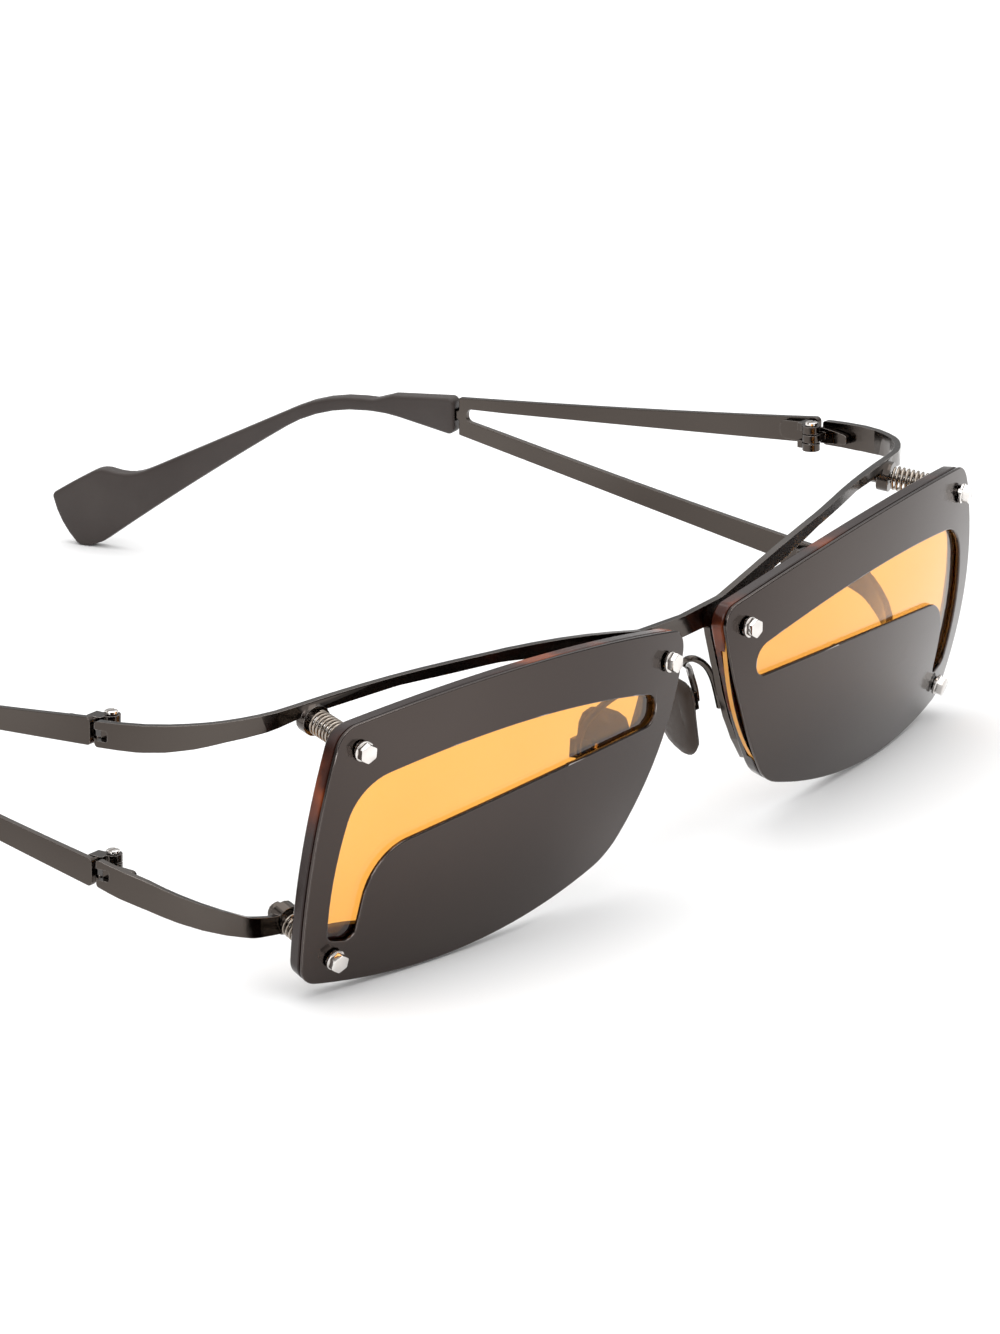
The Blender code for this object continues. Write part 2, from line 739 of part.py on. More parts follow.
# Lower end pieces: on their own plan, from the lower lug to the lower hinge.
LOWER_PATTERN = (
    (S_LOWER_LUG - 0.6, 4.5, 0.5, 0.0),
    (S_LOWER_END - 20.0, 5.0, 6.0, 0.3),
    (S_LOWER_END - 7.0, 9.2, 8.0, 0.1),
    (S_LOWER_END, 11.15, 0.5, 0.0),
    (S_LOWER_END, 12.0, 0.15, 0.0),
    (S_LOWER_END - NOTCH, 12.0, 0.3, 0.0),
    (S_LOWER_END - NOTCH, 13.4, 0.3, 0.0),
    (S_LOWER_END, 13.4, 0.15, 0.0),
    (S_LOWER_END, 14.6, 0.4, 0.0),
    (S_LOWER_END - 7.0, 12.8, 8.0, -0.1),
    (S_LOWER_END - 19.5, 7.7, 6.0, -0.2),
    (S_LOWER_LUG - 0.6, 6.9, 0.5, 0.0),
)
lower_cuts = [S_LOWER_LUG + 2.4 * i for i in range(1, 11)]
lower = sheet([outline(LOWER_PATTERN, 4.0, 30.0)], lower_cuts, [], strip_layers, lower_place)
lower = combine(lower, [turned_lug("lower", LOWER_LUG_AT)], "UNION")
lower = combine(lower, [bolt_bore("lower", 7.5, 12.0)], "DIFFERENCE")
add_pair("lower_end_piece", lower, GUNMETAL)


# ---------------------------------------------------------------- bolts, nuts, springs

def bolt(which, shank):
    place = frame_at(on_bolt(which, 0.0), BOLTS[which][1])
    base = -HEAD_CLEARANCE
    top = base - FLANGE_THICK - HEAD_HEIGHT
    rings = [
        ring(place, HEAD_CORNER_RADIUS - 0.08, top, 12, 6),
        ring(place, HEAD_CORNER_RADIUS, top + 0.08, 12, 6),
        ring(place, HEAD_CORNER_RADIUS, base - FLANGE_THICK, 12, 6),
        ring(place, FLANGE_RADIUS, base - FLANGE_THICK, 12),
        ring(place, FLANGE_RADIUS, base, 12),
        ring(place, SHANK_RADIUS, base, 12),
        ring(place, SHANK_RADIUS, shank - 0.15, 12),
        ring(place, SHANK_RADIUS - 0.15, shank, 12),
    ]
    return loft(rings)


def nut(which, start):
    place = frame_at(on_bolt(which, 0.0), BOLTS[which][1])
    end = start + NUT_HEIGHT
    rings = [
        ring(place, BOLT_HOLE_RADIUS, start, 12),
        ring(place, NUT_CORNER_RADIUS, start, 12, 6),
        ring(place, NUT_CORNER_RADIUS, end, 12, 6),
        ring(place, BOLT_HOLE_RADIUS, end, 12),
    ]
    return loft(rings, closed=True)


def spring(which, start, end, turns):
    place = frame_at(on_bolt(which, 0.0), BOLTS[which][1])
    low = start + SPRING_WIRE_RADIUS
    high = end - SPRING_WIRE_RADIUS
    steps = turns * 7
    points = []
    for i in range(steps + 1):
        turn = turns * i / steps
        dead = 0.75
        share = min(max((turn - dead) / (turns - 2.0 * dead), 0.0), 1.0)
        lead = 2.3 * SPRING_WIRE_RADIUS * (min(turn, dead) + max(turn - turns + dead, 0.0))
        height = low + lead + share * (high - low - 4.6 * SPRING_WIRE_RADIUS * dead)
        angle = math.tau * turn
        points.append((SPRING_RADIUS * math.cos(angle), SPRING_RADIUS * math.sin(angle), height))
    return tube(points, SPRING_WIRE_RADIUS, 4, place)


NUT_AT = {
    "upper": UPPER_LUG_AT + LUG_BACK + 0.2,
    "lower": LOWER_LUG_AT + LUG_BACK + 0.2,
    "inner": INNER_LUG_AT + STRIP_THICK / 2.0 + 0.35,
}
for which in BOLTS:
    add_pair("bolt_" + which, bolt(which, NUT_AT[which] + NUT_HEIGHT + 0.6), STEEL)
    add_pair("nut_" + which, nut(which, NUT_AT[which]), GUNMETAL)
for which, lug_at, turns in (("upper", UPPER_LUG_AT, 9), ("lower", LOWER_LUG_AT, 8)):
    low = STACK_DEPTH + SPRING_END_GAP + 0.45
    high = lug_at - LUG_FRONT - SPRING_END_GAP
    add_pair("spring_" + which, spring(which, low, high, turns), SPRING_STEEL, smooth=60.0)


# ---------------------------------------------------------------- nose pads

PAD_AT = Vector(PAD_CENTRE)
# Local axes of a pad: X runs back along the nose, Y up, Z from the skin outward to the lens.
pad_back = Vector((math.sin(PAD_YAW), math.cos(PAD_YAW), 0.0))
pad_out = Vector((math.cos(PAD_YAW) * math.cos(PAD_FLARE), -math.sin(PAD_YAW) * math.cos(PAD_FLARE),
                  math.sin(PAD_FLARE))).normalized()
pad_up = pad_out.cross(pad_back).normalized()
PAD_PLACE = Matrix.Translation(PAD_AT) @ Matrix((pad_back, pad_up, pad_out)).transposed().to_4x4()
PAD_AXIS_AT = PAD_PLACE @ Vector((1.9, 0.0, PAD_AXIS_OFFSET))

PAD_OUTLINE = (
    (-3.2, 4.2, 2.2, 0.25),
    (-2.9, -4.6, 2.2, 0.2),
    (-0.9, -6.0, 2.2, 0.2),
    (3.4, -4.0, 2.8, 0.3),
    (3.0, 5.2, 2.8, 0.2),
)


def pad_layer(inset, height, loop):
    """A smaller copy of the pad's outline at a height through its thickness."""
    points = []
    for u, v in loop:
        reach = math.hypot(u, v)
        share = max(reach - inset, 0.1) / reach
        dish = 0.02 * (u * u + v * v * 0.35)
        points.append(PAD_PLACE @ Vector((u * share, v * share, height + dish * (1.0 if inset < 2.0 else 0.2))))
    return points


def tab_ring(radius, offset, count=12):
    """A round section of the pad's tab, on the axis that it rocks about."""
    points = []
    for k in range(count):
        angle = math.tau * k / count
        around = math.cos(angle) * pad_out + math.sin(angle) * pad_up
        points.append(PAD_AXIS_AT + pad_back * offset + radius * around)
    return points


pad_loop = outline(PAD_OUTLINE, 5.0, 36.0)
half = PAD_THICK / 2.0
pad_rings = [pad_layer(1.6, -half, pad_loop), pad_layer(0.4, -half + 0.3, pad_loop),
             pad_layer(0.0, 0.0, pad_loop), pad_layer(0.4, half - 0.3, pad_loop),
             pad_layer(1.6, half, pad_loop)]
pad = loft(pad_rings)
stem_place = Matrix.Translation(PAD_AXIS_AT) @ Matrix((pad_back, pad_up, pad_out)).transposed().to_4x4()
stem = block(stem_place @ Matrix.Translation((0.0, 0.0, -0.95)), (1.1, 1.3, 1.9))
eye = loft([tab_ring(0.75, -0.55), tab_ring(0.75, 0.55)])
pad = combine(pad, [stem, eye], "UNION")
pad = combine(pad, [loft([tab_ring(0.55, -2.0), tab_ring(0.55, 2.0)])], "DIFFERENCE")
add_pair("nose_pad", pad, PAD_PLASTIC, PAD_AXIS_AT, 40.0)

# The box on the arm's end: two cheeks and a back, around the pad's tab.
box = block(stem_place @ Matrix.Translation((0.0, 0.0, 0.35)), (2.7, 2.4, 2.5))
slot = block(stem_place @ Matrix.Translation((0.0, 0.0, -0.2)), (1.6, 4.0, 2.5))
box = combine(box, [slot], "DIFFERENCE")
box = combine(box, [loft([tab_ring(0.6, -3.0), tab_ring(0.6, 3.0)])], "DIFFERENCE")
add_pair("pad_box", box, GUNMETAL)

pin_rings = [tab_ring(0.62, -1.95), tab_ring(0.75, -1.85), tab_ring(0.75, -1.55), tab_ring(0.35, -1.55),
             tab_ring(0.35, 1.7)]
pad_screw = loft(pin_rings)
slit = block(stem_place @ Matrix.Translation((-2.0, 0.0, 0.0)), (0.5, 2.4, 0.25))
pad_screw = combine(pad_screw, [slit], "DIFFERENCE")
add_pair("pad_screw", pad_screw, BRASS)

arm_end = stem_place @ Vector((0.0, 0.9, 2.3))
ARM_POINTS = (
    (10.7, -0.45, 15.6), (9.6, -0.55, 18.3), (8.6, -0.6, 20.3), (7.4, -0.4, 22.0), (6.1, 0.3, 23.0),
    (5.8, 1.4, 22.8), (6.9, 2.6, 21.8), (9.7, 3.8, 20.5), (12.1, 4.9, 18.4), tuple(arm_end),
    tuple(arm_end - pad_up * 1.6),
)
arm = tube(spline(ARM_POINTS, 3), ARM_RADIUS, 7)
add_pair("pad_arm", arm, GUNMETAL, smooth=50.0)


# ---------------------------------------------------------------- temples

def temple_x(y):
    """The temple's run in plan: nearly straight at the hinge, closing in towards the tip."""
    run = max(0.0, y - 30.0)
    return 80.4 - 0.065 * run - 5.4 * (run / 113.6) ** 2.5


def temple_place(y, z, depth):
    slope = (temple_x(y + 0.5) - temple_x(y - 0.5))
    way = Vector((slope, 1.0)).normalized()
    return (temple_x(y) + way.y * depth, y - way.x * depth, z)


TEMPLE_START = 30.1
SLEEVE_START = 86.4
TONGUE_END = 94.0
TONGUE_LOW = 24.2
TONGUE_HIGH = 25.4
TEMPLE_OUTLINE = (
    (TEMPLE_START, 10.8, 0.6, 0.15),
    (85.9, 22.0, 0.0, 0.0),
    (85.9, TONGUE_LOW, 0.3, 0.0),
    (TONGUE_END, TONGUE_LOW, 0.4, 0.0),
    (TONGUE_END, TONGUE_HIGH, 0.4, 0.0),
    (85.9, TONGUE_HIGH, 0.3, 0.0),
    (85.9, 27.25, 0.0, -0.3),
    (TEMPLE_START, 32.55, 0.6, 0.0),
    (TEMPLE_START, 28.95, 0.5, 0.1),
    (79.0, 26.0, 10.0, 0.0),
    (84.7, 25.8, 0.8, 0.0),
    (84.7, 24.1, 0.8, 0.0),
    (79.0, 23.0, 10.0, -0.3),
    (TEMPLE_START, 14.4, 0.6, 0.0),
)
temple_cuts = [38.0, 48.0, 58.0, 68.0, 77.0, 84.0, 90.0]
temple = sheet([outline(TEMPLE_OUTLINE, 6.0, 30.0)], temple_cuts, [], strip_layers, temple_place)
HINGE_AT = (HINGE_X, HINGE_Y, (UPPER_HINGE_Z + LOWER_HINGE_Z) / 2.0)
add_pair("temple", temple, GUNMETAL, HINGE_AT)

SLEEVE_OUTLINE = (
    (SLEEVE_START, 21.9, 0.9, 0.0),
    (97.0, 23.7, 20.0, 0.0),
    (107.0, 23.4, 25.0, -0.4),
    (141.2, -0.7, 3.0, 0.0),
    (143.4, -1.6, 0.0, 0.0),
    (145.0, -1.6, 1.2, 0.65),
    (149.0, 5.4, 0.9, 0.1),
    (141.4, 10.1, 4.0, 0.0),
    (137.0, 9.2, 10.0, 0.0),
    (106.3, 25.2, 24.0, 0.0),
    (98.9, 25.4, 1.5, 0.0),
    (96.0, 26.4, 1.5, 0.0),
    (SLEEVE_START, 27.3, 0.9, 0.0),
)
SLEEVE_HALF = 1.15
SLEEVE_EDGE = 0.45
sleeve_layers = [(SLEEVE_EDGE, SLEEVE_HALF), (0.0, SLEEVE_HALF - SLEEVE_EDGE),
                 (0.0, SLEEVE_EDGE - SLEEVE_HALF), (SLEEVE_EDGE, -SLEEVE_HALF)]
sleeve_cuts = [96.0, 105.0, 113.0, 121.0, 129.0, 137.0, 144.2]
sleeve = sheet([outline(SLEEVE_OUTLINE, 6.0, 30.0)], sleeve_cuts, [], sleeve_layers, temple_place)
slot_low = TONGUE_LOW - 0.25
slot_high = TONGUE_HIGH + 0.25
slot_loop = [(SLEEVE_START - 2.0, slot_low), (TONGUE_END + 0.4, slot_low), (TONGUE_END + 0.4, slot_high),
             (SLEEVE_START - 2.0, slot_high)]
slot_half = STRIP_THICK / 2.0 + 0.22
socket = sheet([slot_loop], [90.0], [], [(0.0, slot_half), (0.0, -slot_half)], temple_place)
sleeve = combine(sleeve, [socket], "DIFFERENCE")
add_pair("temple_tip", sleeve, TIP_PLASTIC, HINGE_AT, 35.0)


# ---------------------------------------------------------------- hinges

def upright(radius, low, high, count=12):
    place = frame_at((HINGE_X, HINGE_Y, 0.0), (0.0, 0.0, 1.0), (1.0, 0.0, 0.0))
    return loft([ring(place, radius, low, count), ring(place, radius, high, count)])


def leaf_place(run, offset):
    """Places a leaf against the inner face of a strip, a set distance in from its middle."""
    return lambda s, z, depth: run(s, z, depth + offset)


LEAF_THICK = 0.7
LEAF_OFFSET = -(STRIP_THICK / 2.0 + 0.25 + LEAF_THICK / 2.0)
leaf_layers = [(0.0, LEAF_THICK / 2.0), (0.0, -LEAF_THICK / 2.0)]


def arm_block(y_low, y_high, z_low, z_high):
    """The short arm from a leaf to its knuckle."""
    x_low = HINGE_X
    x_high = 80.4 + LEAF_OFFSET
    centre = ((x_low + x_high) / 2.0, (y_low + y_high) / 2.0, (z_low + z_high) / 2.0)
    return block(Matrix.Translation(centre), (x_high - x_low, y_high - y_low, z_high - z_low))


def front_leaf(base, run, end):
    low = base + KNUCKLE_HEIGHT + KNUCKLE_GAP
    high = low + KNUCKLE_HEIGHT
    middle = (low + high) / 2.0
    pattern = ((end - 4.8, middle - 0.65, 0.55, 0.0), (end - 0.2, middle - 1.1, 0.2, 0.0),
               (end - 0.2, middle + 1.1, 0.2, 0.0), (end - 4.8, middle + 0.65, 0.55, 0.0))
    leaf = sheet([outline(pattern, 4.0, 30.0)], [end - 2.5], [], leaf_layers, leaf_place(run, LEAF_OFFSET))
    shape = combine(leaf, [arm_block(HINGE_Y - 1.1, HINGE_Y - 0.1, low, high), upright(KNUCKLE_RADIUS, low, high)],
                    "UNION")
    return combine(shape, [upright(KNUCKLE_BORE, low - 2.0, high + 2.0, 8)], "DIFFERENCE")


def rear_leaf(base):
    top = base + 3.0 * KNUCKLE_HEIGHT + 2.0 * KNUCKLE_GAP
    pattern = ((TEMPLE_START + 0.6, base + 0.25, 0.3, 0.0), (TEMPLE_START + 5.4, base + 0.5, 0.9, 0.0),
               (TEMPLE_START + 5.4, top - 0.5, 0.9, 0.0), (TEMPLE_START + 0.6, top - 0.25, 0.3, 0.0))
    leaf = sheet([outline(pattern, 4.0, 30.0)], [TEMPLE_START + 3.0], [], leaf_layers,
                 leaf_place(temple_place, LEAF_OFFSET))
    tools = []
    for low in (base, top - KNUCKLE_HEIGHT):
        tools.append(arm_block(HINGE_Y + 0.15, TEMPLE_START + 1.6, low, low + KNUCKLE_HEIGHT))
        tools.append(upright(KNUCKLE_RADIUS, low, low + KNUCKLE_HEIGHT))
    shape = combine(leaf, tools, "UNION")
    return combine(shape, [upright(KNUCKLE_BORE, base - 2.0, top + 2.0, 8)], "DIFFERENCE")


def hinge_screw(base):
    top = base + 3.0 * KNUCKLE_HEIGHT + 2.0 * KNUCKLE_GAP
    place = frame_at((HINGE_X, HINGE_Y, 0.0), (0.0, 0.0, 1.0), (1.0, 0.0, 0.0))
    rings = [ring(place, PIN_RADIUS, base - 0.1, 12), ring(place, PIN_RADIUS, top + 0.12, 12),
             ring(place, 0.85, top + 0.12, 12), ring(place, 0.85, top + 0.4, 12), ring(place, 0.7, top + 0.5, 12)]
    slit = block(Matrix.Translation((HINGE_X, HINGE_Y, top + 0.55)), (2.4, 0.25, 0.5))
    return combine(loft(rings), [slit], "DIFFERENCE")


for level, base, run, end in (("upper", UPPER_HINGE_Z, end_place, S_END),
                              ("lower", LOWER_HINGE_Z, lower_place, S_LOWER_END)):
    add_pair("hinge_front_" + level, front_leaf(base, run, end), GUNMETAL)
    add_pair("hinge_rear_" + level, rear_leaf(base), GUNMETAL, HINGE_AT)
    add_pair("hinge_screw_" + level, hinge_screw(base), STEEL)
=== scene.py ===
"""Looks for the wrap sunglasses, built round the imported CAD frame.

The lens stacks, bolts, nuts, springs, temples and temple tips are made again here with finer surfaces in the same
places. Every other piece is a smooth-shaded copy of its CAD node. Shapes are worked out in millimetres for the
wearer's left side, and shape_mesh turns them into metres. Materials, floor, lights and camera are in metres.
"""

import json
import math

import bmesh
import bpy
from mathutils import Matrix, Vector


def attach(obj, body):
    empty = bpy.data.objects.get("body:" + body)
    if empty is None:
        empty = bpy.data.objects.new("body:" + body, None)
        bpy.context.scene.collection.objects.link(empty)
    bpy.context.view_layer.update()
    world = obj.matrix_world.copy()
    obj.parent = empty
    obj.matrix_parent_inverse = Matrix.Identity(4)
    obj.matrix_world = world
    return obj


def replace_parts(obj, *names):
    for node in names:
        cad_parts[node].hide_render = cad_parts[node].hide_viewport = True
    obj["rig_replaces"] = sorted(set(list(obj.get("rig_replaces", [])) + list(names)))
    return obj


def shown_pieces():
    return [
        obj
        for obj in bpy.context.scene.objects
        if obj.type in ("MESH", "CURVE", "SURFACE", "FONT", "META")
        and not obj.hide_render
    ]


MM = 0.001
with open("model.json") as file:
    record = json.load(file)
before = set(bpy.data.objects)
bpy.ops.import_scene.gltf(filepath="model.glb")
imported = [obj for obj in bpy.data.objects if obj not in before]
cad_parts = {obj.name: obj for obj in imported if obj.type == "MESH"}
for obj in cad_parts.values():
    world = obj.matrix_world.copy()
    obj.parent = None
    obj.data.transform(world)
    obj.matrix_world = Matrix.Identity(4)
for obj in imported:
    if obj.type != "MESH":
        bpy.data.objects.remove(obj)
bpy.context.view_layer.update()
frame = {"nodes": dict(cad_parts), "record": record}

# ---------------------------------------------------------------- the CAD's own sizes, in millimetres
DATUM_Y = -71.25
DATUM_Z = 1.6
WRAP_RADIUS = 168.0
DROP_RADIUS = 92.5
APEX_X = 22.7
APEX_Y = -6.3
APEX_Z = 29.7
PLATE_THICK = 0.55
LENS_THICK = 0.75
ACETATE_THICK = 1.9
LAYER_GAP = 0.15
LENS_DEPTH = PLATE_THICK + LAYER_GAP
ACETATE_DEPTH = PLATE_THICK + LAYER_GAP
STACK_DEPTH = ACETATE_DEPTH + ACETATE_THICK
RECESS_END = LENS_DEPTH + LENS_THICK + LAYER_GAP
LAYER_HOLE_RADIUS = 0.95
STRIP_THICK = 0.9
BOLT_HOLE_RADIUS = 0.85
SHANK_RADIUS = 0.6
FLANGE_RADIUS = 1.35
FLANGE_THICK = 0.35
HEAD_HEIGHT = 0.95
HEAD_CLEARANCE = 0.28
NUT_CORNER_RADIUS = 1.3
NUT_HEIGHT = 1.0
SPRING_RADIUS = 1.45
SPRING_WIRE_RADIUS = 0.2
SPRING_END_GAP = 0.2
SPRING_SLANT_ROOM = 0.45
LUG_AT = {"upper": 9.7, "lower": 9.2, "inner": 4.5}
LUG_FRONT = 0.4
NUT_AT = {"upper": 11.05, "lower": 10.55, "inner": 5.3}
BOLT_PAST_NUT = 0.6

STACK_OUTLINE = (
    (4.2, 30.5, 2.85, 2.1),
    (18.0, 4.0, 11.5, 3.4),
    (71.6, 0.5, 3.6, 2.7),
    (69.8, 33.4, 4.1, 2.75),
)
LENS_OUTLINE = (
    (5.3, 29.8, 2.1, 3.35),
    (18.5, 4.8, 10.5, 3.4),
    (70.7, 1.4, 3.0, 2.7),
    (69.0, 32.6, 3.4, 2.75),
)
WINDOW_OUTLINE = (
    (11.8, 20.1, 2.0, -1.15),
    (64.6, 16.3, 7.2, 0.0),
    (65.1, 5.1, 1.3, 0.0),
    (69.2, 5.9, 1.5, 1.6),
    (67.1, 25.8, 8.5, 2.85),
    (11.2, 23.9, 2.7, 0.1),
)
RIM_OPENING = (
    (9.4, 23.9, 2.0, 1.5),
    (20.5, 8.4, 8.0, 3.2),
    (62.5, 6.2, 2.0, -0.2),
    (69.9, 7.0, 1.6, 1.0),
    (68.2, 26.4, 7.0, 2.4),
)

# Each bolt's X and Z on the plate's front face, and the way that its axis runs.
BOLTS = {
    "upper": ((66.95, 30.4), Vector((-0.32, 1.0, 0.15)).normalized()),
    "lower": ((67.65, 3.3), Vector((-0.25, 1.0, 0.32)).normalized()),
    "inner": ((8.99, 27.64), Vector((0.04, 1.0, 0.02)).normalized()),
}
SPRING_TURNS = {"upper": 9, "lower": 8}

# ---------------------------------------------------------------- the finer surfaces' own sizes, in millimetres
PLATE_EDGE = 0.16
LENS_EDGE = 0.08
ACETATE_EDGE = 0.25
TEMPLE_EDGE = 0.12
ROUND_MIDDLE = 0.3  # how far in the middle of a quarter-round edge lies, as a share of its radius
STACK_GRID_STEP = 2.7
CUT_SNAP = 0.01
ON_CUT = 0.011

HEAD_CORNER_RADIUS = 1.3  # the corners are cut, so this is a little more than the CAD's
HEX_CORNER_CUT = 0.03  # share of the corner radius
HEAD_CHAMFER = 0.09
HEAD_FOOT = 0.98  # the head's foot, as a share of its corner radius
SMALL_ROUND = 0.04
THREAD_PITCH = 0.2
THREAD_DEPTH = 0.06
BOLT_POINT = 0.15
NUT_CHAMFER = 0.12
NUT_FACE = 0.86  # the round end face, as a share of the corner radius
NUT_LIP = 0.15
NUT_LIP_DEPTH = 0.1
SPRING_DEAD_TURNS = 0.75  # closed turns at each end
SPRING_CLOSED_PITCH = 2.1 * SPRING_WIRE_RADIUS
SPRING_STEPS_PER_TURN = 24
WIRE_SIDES = 10
WIRE_END = 0.55  # radius at the wire's very ends, as a share of its own

# A piece is shaded smooth, apart from edges that turn by more than its own angle, in degrees.
SHEET_SHARP = 15.0
RIM_SHARP = 18.0
BOLT_SHARP = 30.0
SPRING_SHARP = 60.0
TEMPLE_SHARP = 10.0
TIP_SHARP = 40.0
COPY_SHARP = 32.0


# ---------------------------------------------------------------- plane outlines

def edge_points(a, b, bulge, count=64):
    """Points along a shallow arc from a to b; a positive bulge swells to the right of the way from a to b."""
    dx = b[0] - a[0]
    dy = b[1] - a[1]
    length = math.hypot(dx, dy)
    right = (dy / length, -dx / length)
    points = []
    for i in range(count + 1):
        t = i / count
        rise = 4.0 * bulge * t * (1.0 - t)
        points.append((a[0] + t * dx + rise * right[0], a[1] + t * dy + rise * right[1]))
    return points


def cut_start(points, distance):
    """Drops the first stretch of a polyline, of the given length."""
    left = distance
    for i in range(len(points) - 1):
        step = math.dist(points[i], points[i + 1])
        if step > left:
            t = left / step
            x = points[i][0] + t * (points[i + 1][0] - points[i][0])
            y = points[i][1] + t * (points[i + 1][1] - points[i][1])
            return [(x, y)] + points[i + 1:]
        left -= step
    return points[-2:]


def resample(points, count):
    """Evenly spaced points along a polyline."""
    lengths = [0.0]
    for i in range(len(points) - 1):
        lengths.append(lengths[-1] + math.dist(points[i], points[i + 1]))
    result = []
    k = 0
    for i in range(count + 1):
        want = lengths[-1] * i / count
        while k < len(points) - 2 and lengths[k + 1] < want:
            k += 1
        t = (want - lengths[k]) / max(lengths[k + 1] - lengths[k], 1e-9)
        x = points[k][0] + t * (points[k + 1][0] - points[k][0])
        y = points[k][1] + t * (points[k + 1][1] - points[k][1])
        result.append((x, y))
    return result


def outline(corners, spacing=2.0, turn_step=7.0):
    """A closed outline from corners (u, v, fillet radius, bulge of the edge to the next corner), anticlockwise."""
    total = len(corners)
    edges = []
    for i in range(total):
        j = (i + 1) % total
        edges.append(edge_points(corners[i][:2], corners[j][:2], corners[i][3]))
    turns = []
    for i in range(total):
        before = edges[i - 1]
        after = edges[i]
        first = math.atan2(before[-1][1] - before[-2][1], before[-1][0] - before[-2][0])
        second = math.atan2(after[1][1] - after[0][1], after[1][0] - after[0][0])
        turns.append(math.remainder(second - first, math.tau))
    cuts = [corners[i][2] * math.tan(abs(turns[i]) / 2.0) for i in range(total)]
    trimmed = []
    for i in range(total):
        points = cut_start(edges[i], cuts[i])
        trimmed.append(cut_start(points[::-1], cuts[(i + 1) % total])[::-1])
    loop = []
    for i in range(total):
        before = trimmed[i - 1]
        after = trimmed[i]
        steps = max(2, math.ceil(math.degrees(abs(turns[i])) / turn_step))
        # A cubic curve with handles of this reach follows the fillet's arc.
        reach = 4.0 / 3.0 * math.tan(abs(turns[i]) / 4.0) * corners[i][2]
        a = Vector(before[-1])
        d = Vector(after[0])
        b = a + (a - Vector(before[-2])).normalized() * reach
        c = d - (Vector(after[1]) - d).normalized() * reach
        for k in range(steps):
            t = k / steps
            s = 1.0 - t
            p = s * s * s * a + 3.0 * s * s * t * b + 3.0 * s * t * t * c + t * t * t * d
            loop.append((p.x, p.y))
        length = sum(math.dist(after[k], after[k + 1]) for k in range(len(after) - 1))
        loop += resample(after, max(1, math.ceil(length / spacing)))[:-1]
    return loop


def circle(u, v, radius, count=28):
    """A regular outline around a centre."""
    return [(u + radius * math.cos(math.tau * i / count), v + radius * math.sin(math.tau * i / count))
            for i in range(count)]


# ---------------------------------------------------------------- curved sheets

def grid_lines(first, step, count):
    """Evenly spaced places along one axis of a flat pattern."""
    return [first + step * i for i in range(count)]


def grid_fill(loops, cuts_u, cuts_v):
    """Fills the area between loops with triangles that follow a grid, so that it can be bent afterwards."""
    bm = bmesh.new()
    edges = []
    for loop in loops:
        verts = [bm.verts.new((u, v, 0.0)) for u, v in loop]
        for i, vert in enumerate(verts):
            edges.append(bm.edges.new((vert, verts[(i + 1) % len(verts)])))
    bmesh.ops.triangle_fill(bm, use_beauty=True, use_dissolve=False, edges=edges, normal=(0.0, 0.0, 1.0))
    for axis, cuts in ((0, cuts_u), (1, cuts_v)):
        normal = Vector((1.0, 0.0, 0.0)) if axis == 0 else Vector((0.0, 1.0, 0.0))
        for cut in cuts:
            geometry = bm.verts[:] + bm.edges[:] + bm.faces[:]
            bmesh.ops.bisect_plane(bm, geom=geometry, dist=CUT_SNAP, plane_co=normal * cut, plane_no=normal)

    def on_grid(edge):
        for axis, cuts in ((0, cuts_u), (1, cuts_v)):
            a = edge.verts[0].co[axis]
            b = edge.verts[1].co[axis]
            if abs(a - b) < ON_CUT and any(abs(a - cut) < ON_CUT for cut in cuts):
                return True
        return False

    loose = [edge for edge in bm.edges if len(edge.link_faces) == 2 and not on_grid(edge)]
    bmesh.ops.dissolve_edges(bm, edges=loose, use_verts=False, use_face_split=False)
    spare = [vert for vert in bm.verts if len(vert.link_edges) == 2 and not vert.is_boundary]
    bmesh.ops.dissolve_verts(bm, verts=spare)
    bmesh.ops.triangulate(bm, faces=bm.faces[:], quad_method="BEAUTY", ngon_method="BEAUTY")
    for face in bm.faces:
        face.normal_update()
        if face.normal.z < 0.0:
            face.normal_flip()
    bm.verts.index_update()
    verts = [(vert.co.x, vert.co.y) for vert in bm.verts]
    faces = [tuple(vert.index for vert in face.verts) for face in bm.faces]
    bm.free()
    return verts, faces


def sheet(loops, cuts_u, cuts_v, layers, place):
    """A closed sheet: layers are (inset of the edge, depth) pairs from one face to the other."""
    flat, triangles = grid_fill(loops, cuts_u, cuts_v)
    directed = set()
    for a, b, c in triangles:
        directed.update(((a, b), (b, c), (c, a)))
    after = {a: b for a, b in directed if (b, a) not in directed}
    before = {b: a for a, b in after.items()}
    outward = {}
    for vert in after:
        normals = []
        for a, b in ((before[vert], vert), (vert, after[vert])):
            step = Vector(flat[b]) - Vector(flat[a])
            normals.append(Vector((step.y, -step.x)).normalized())
        middle = (normals[0] + normals[1]).normalized()
        outward[vert] = middle / max(middle.dot(normals[0]), 0.5)
    verts = []
    faces = []
    rows = []
    for number, (inset, depth) in enumerate(layers):
        whole = number in (0, len(layers) - 1)
        row = {}
        for i, (u, v) in enumerate(flat):
            if not whole and i not in after:
                continue
            if i in after:
                u -= inset * outward[i].x
                v -= inset * outward[i].y
            row[i] = len(verts)
            verts.append(place(u, v, depth))
        rows.append(row)
    for a, b, c in triangles:
        faces.append((rows[0][a], rows[0][b], rows[0][c]))
        faces.append((rows[-1][c], rows[-1][b], rows[-1][a]))
    for upper, lower in zip(rows, rows[1:]):
        for a, b in after.items():
            faces.append((upper[b], upper[a], lower[a], lower[b]))
    return outward_facing(verts, faces)


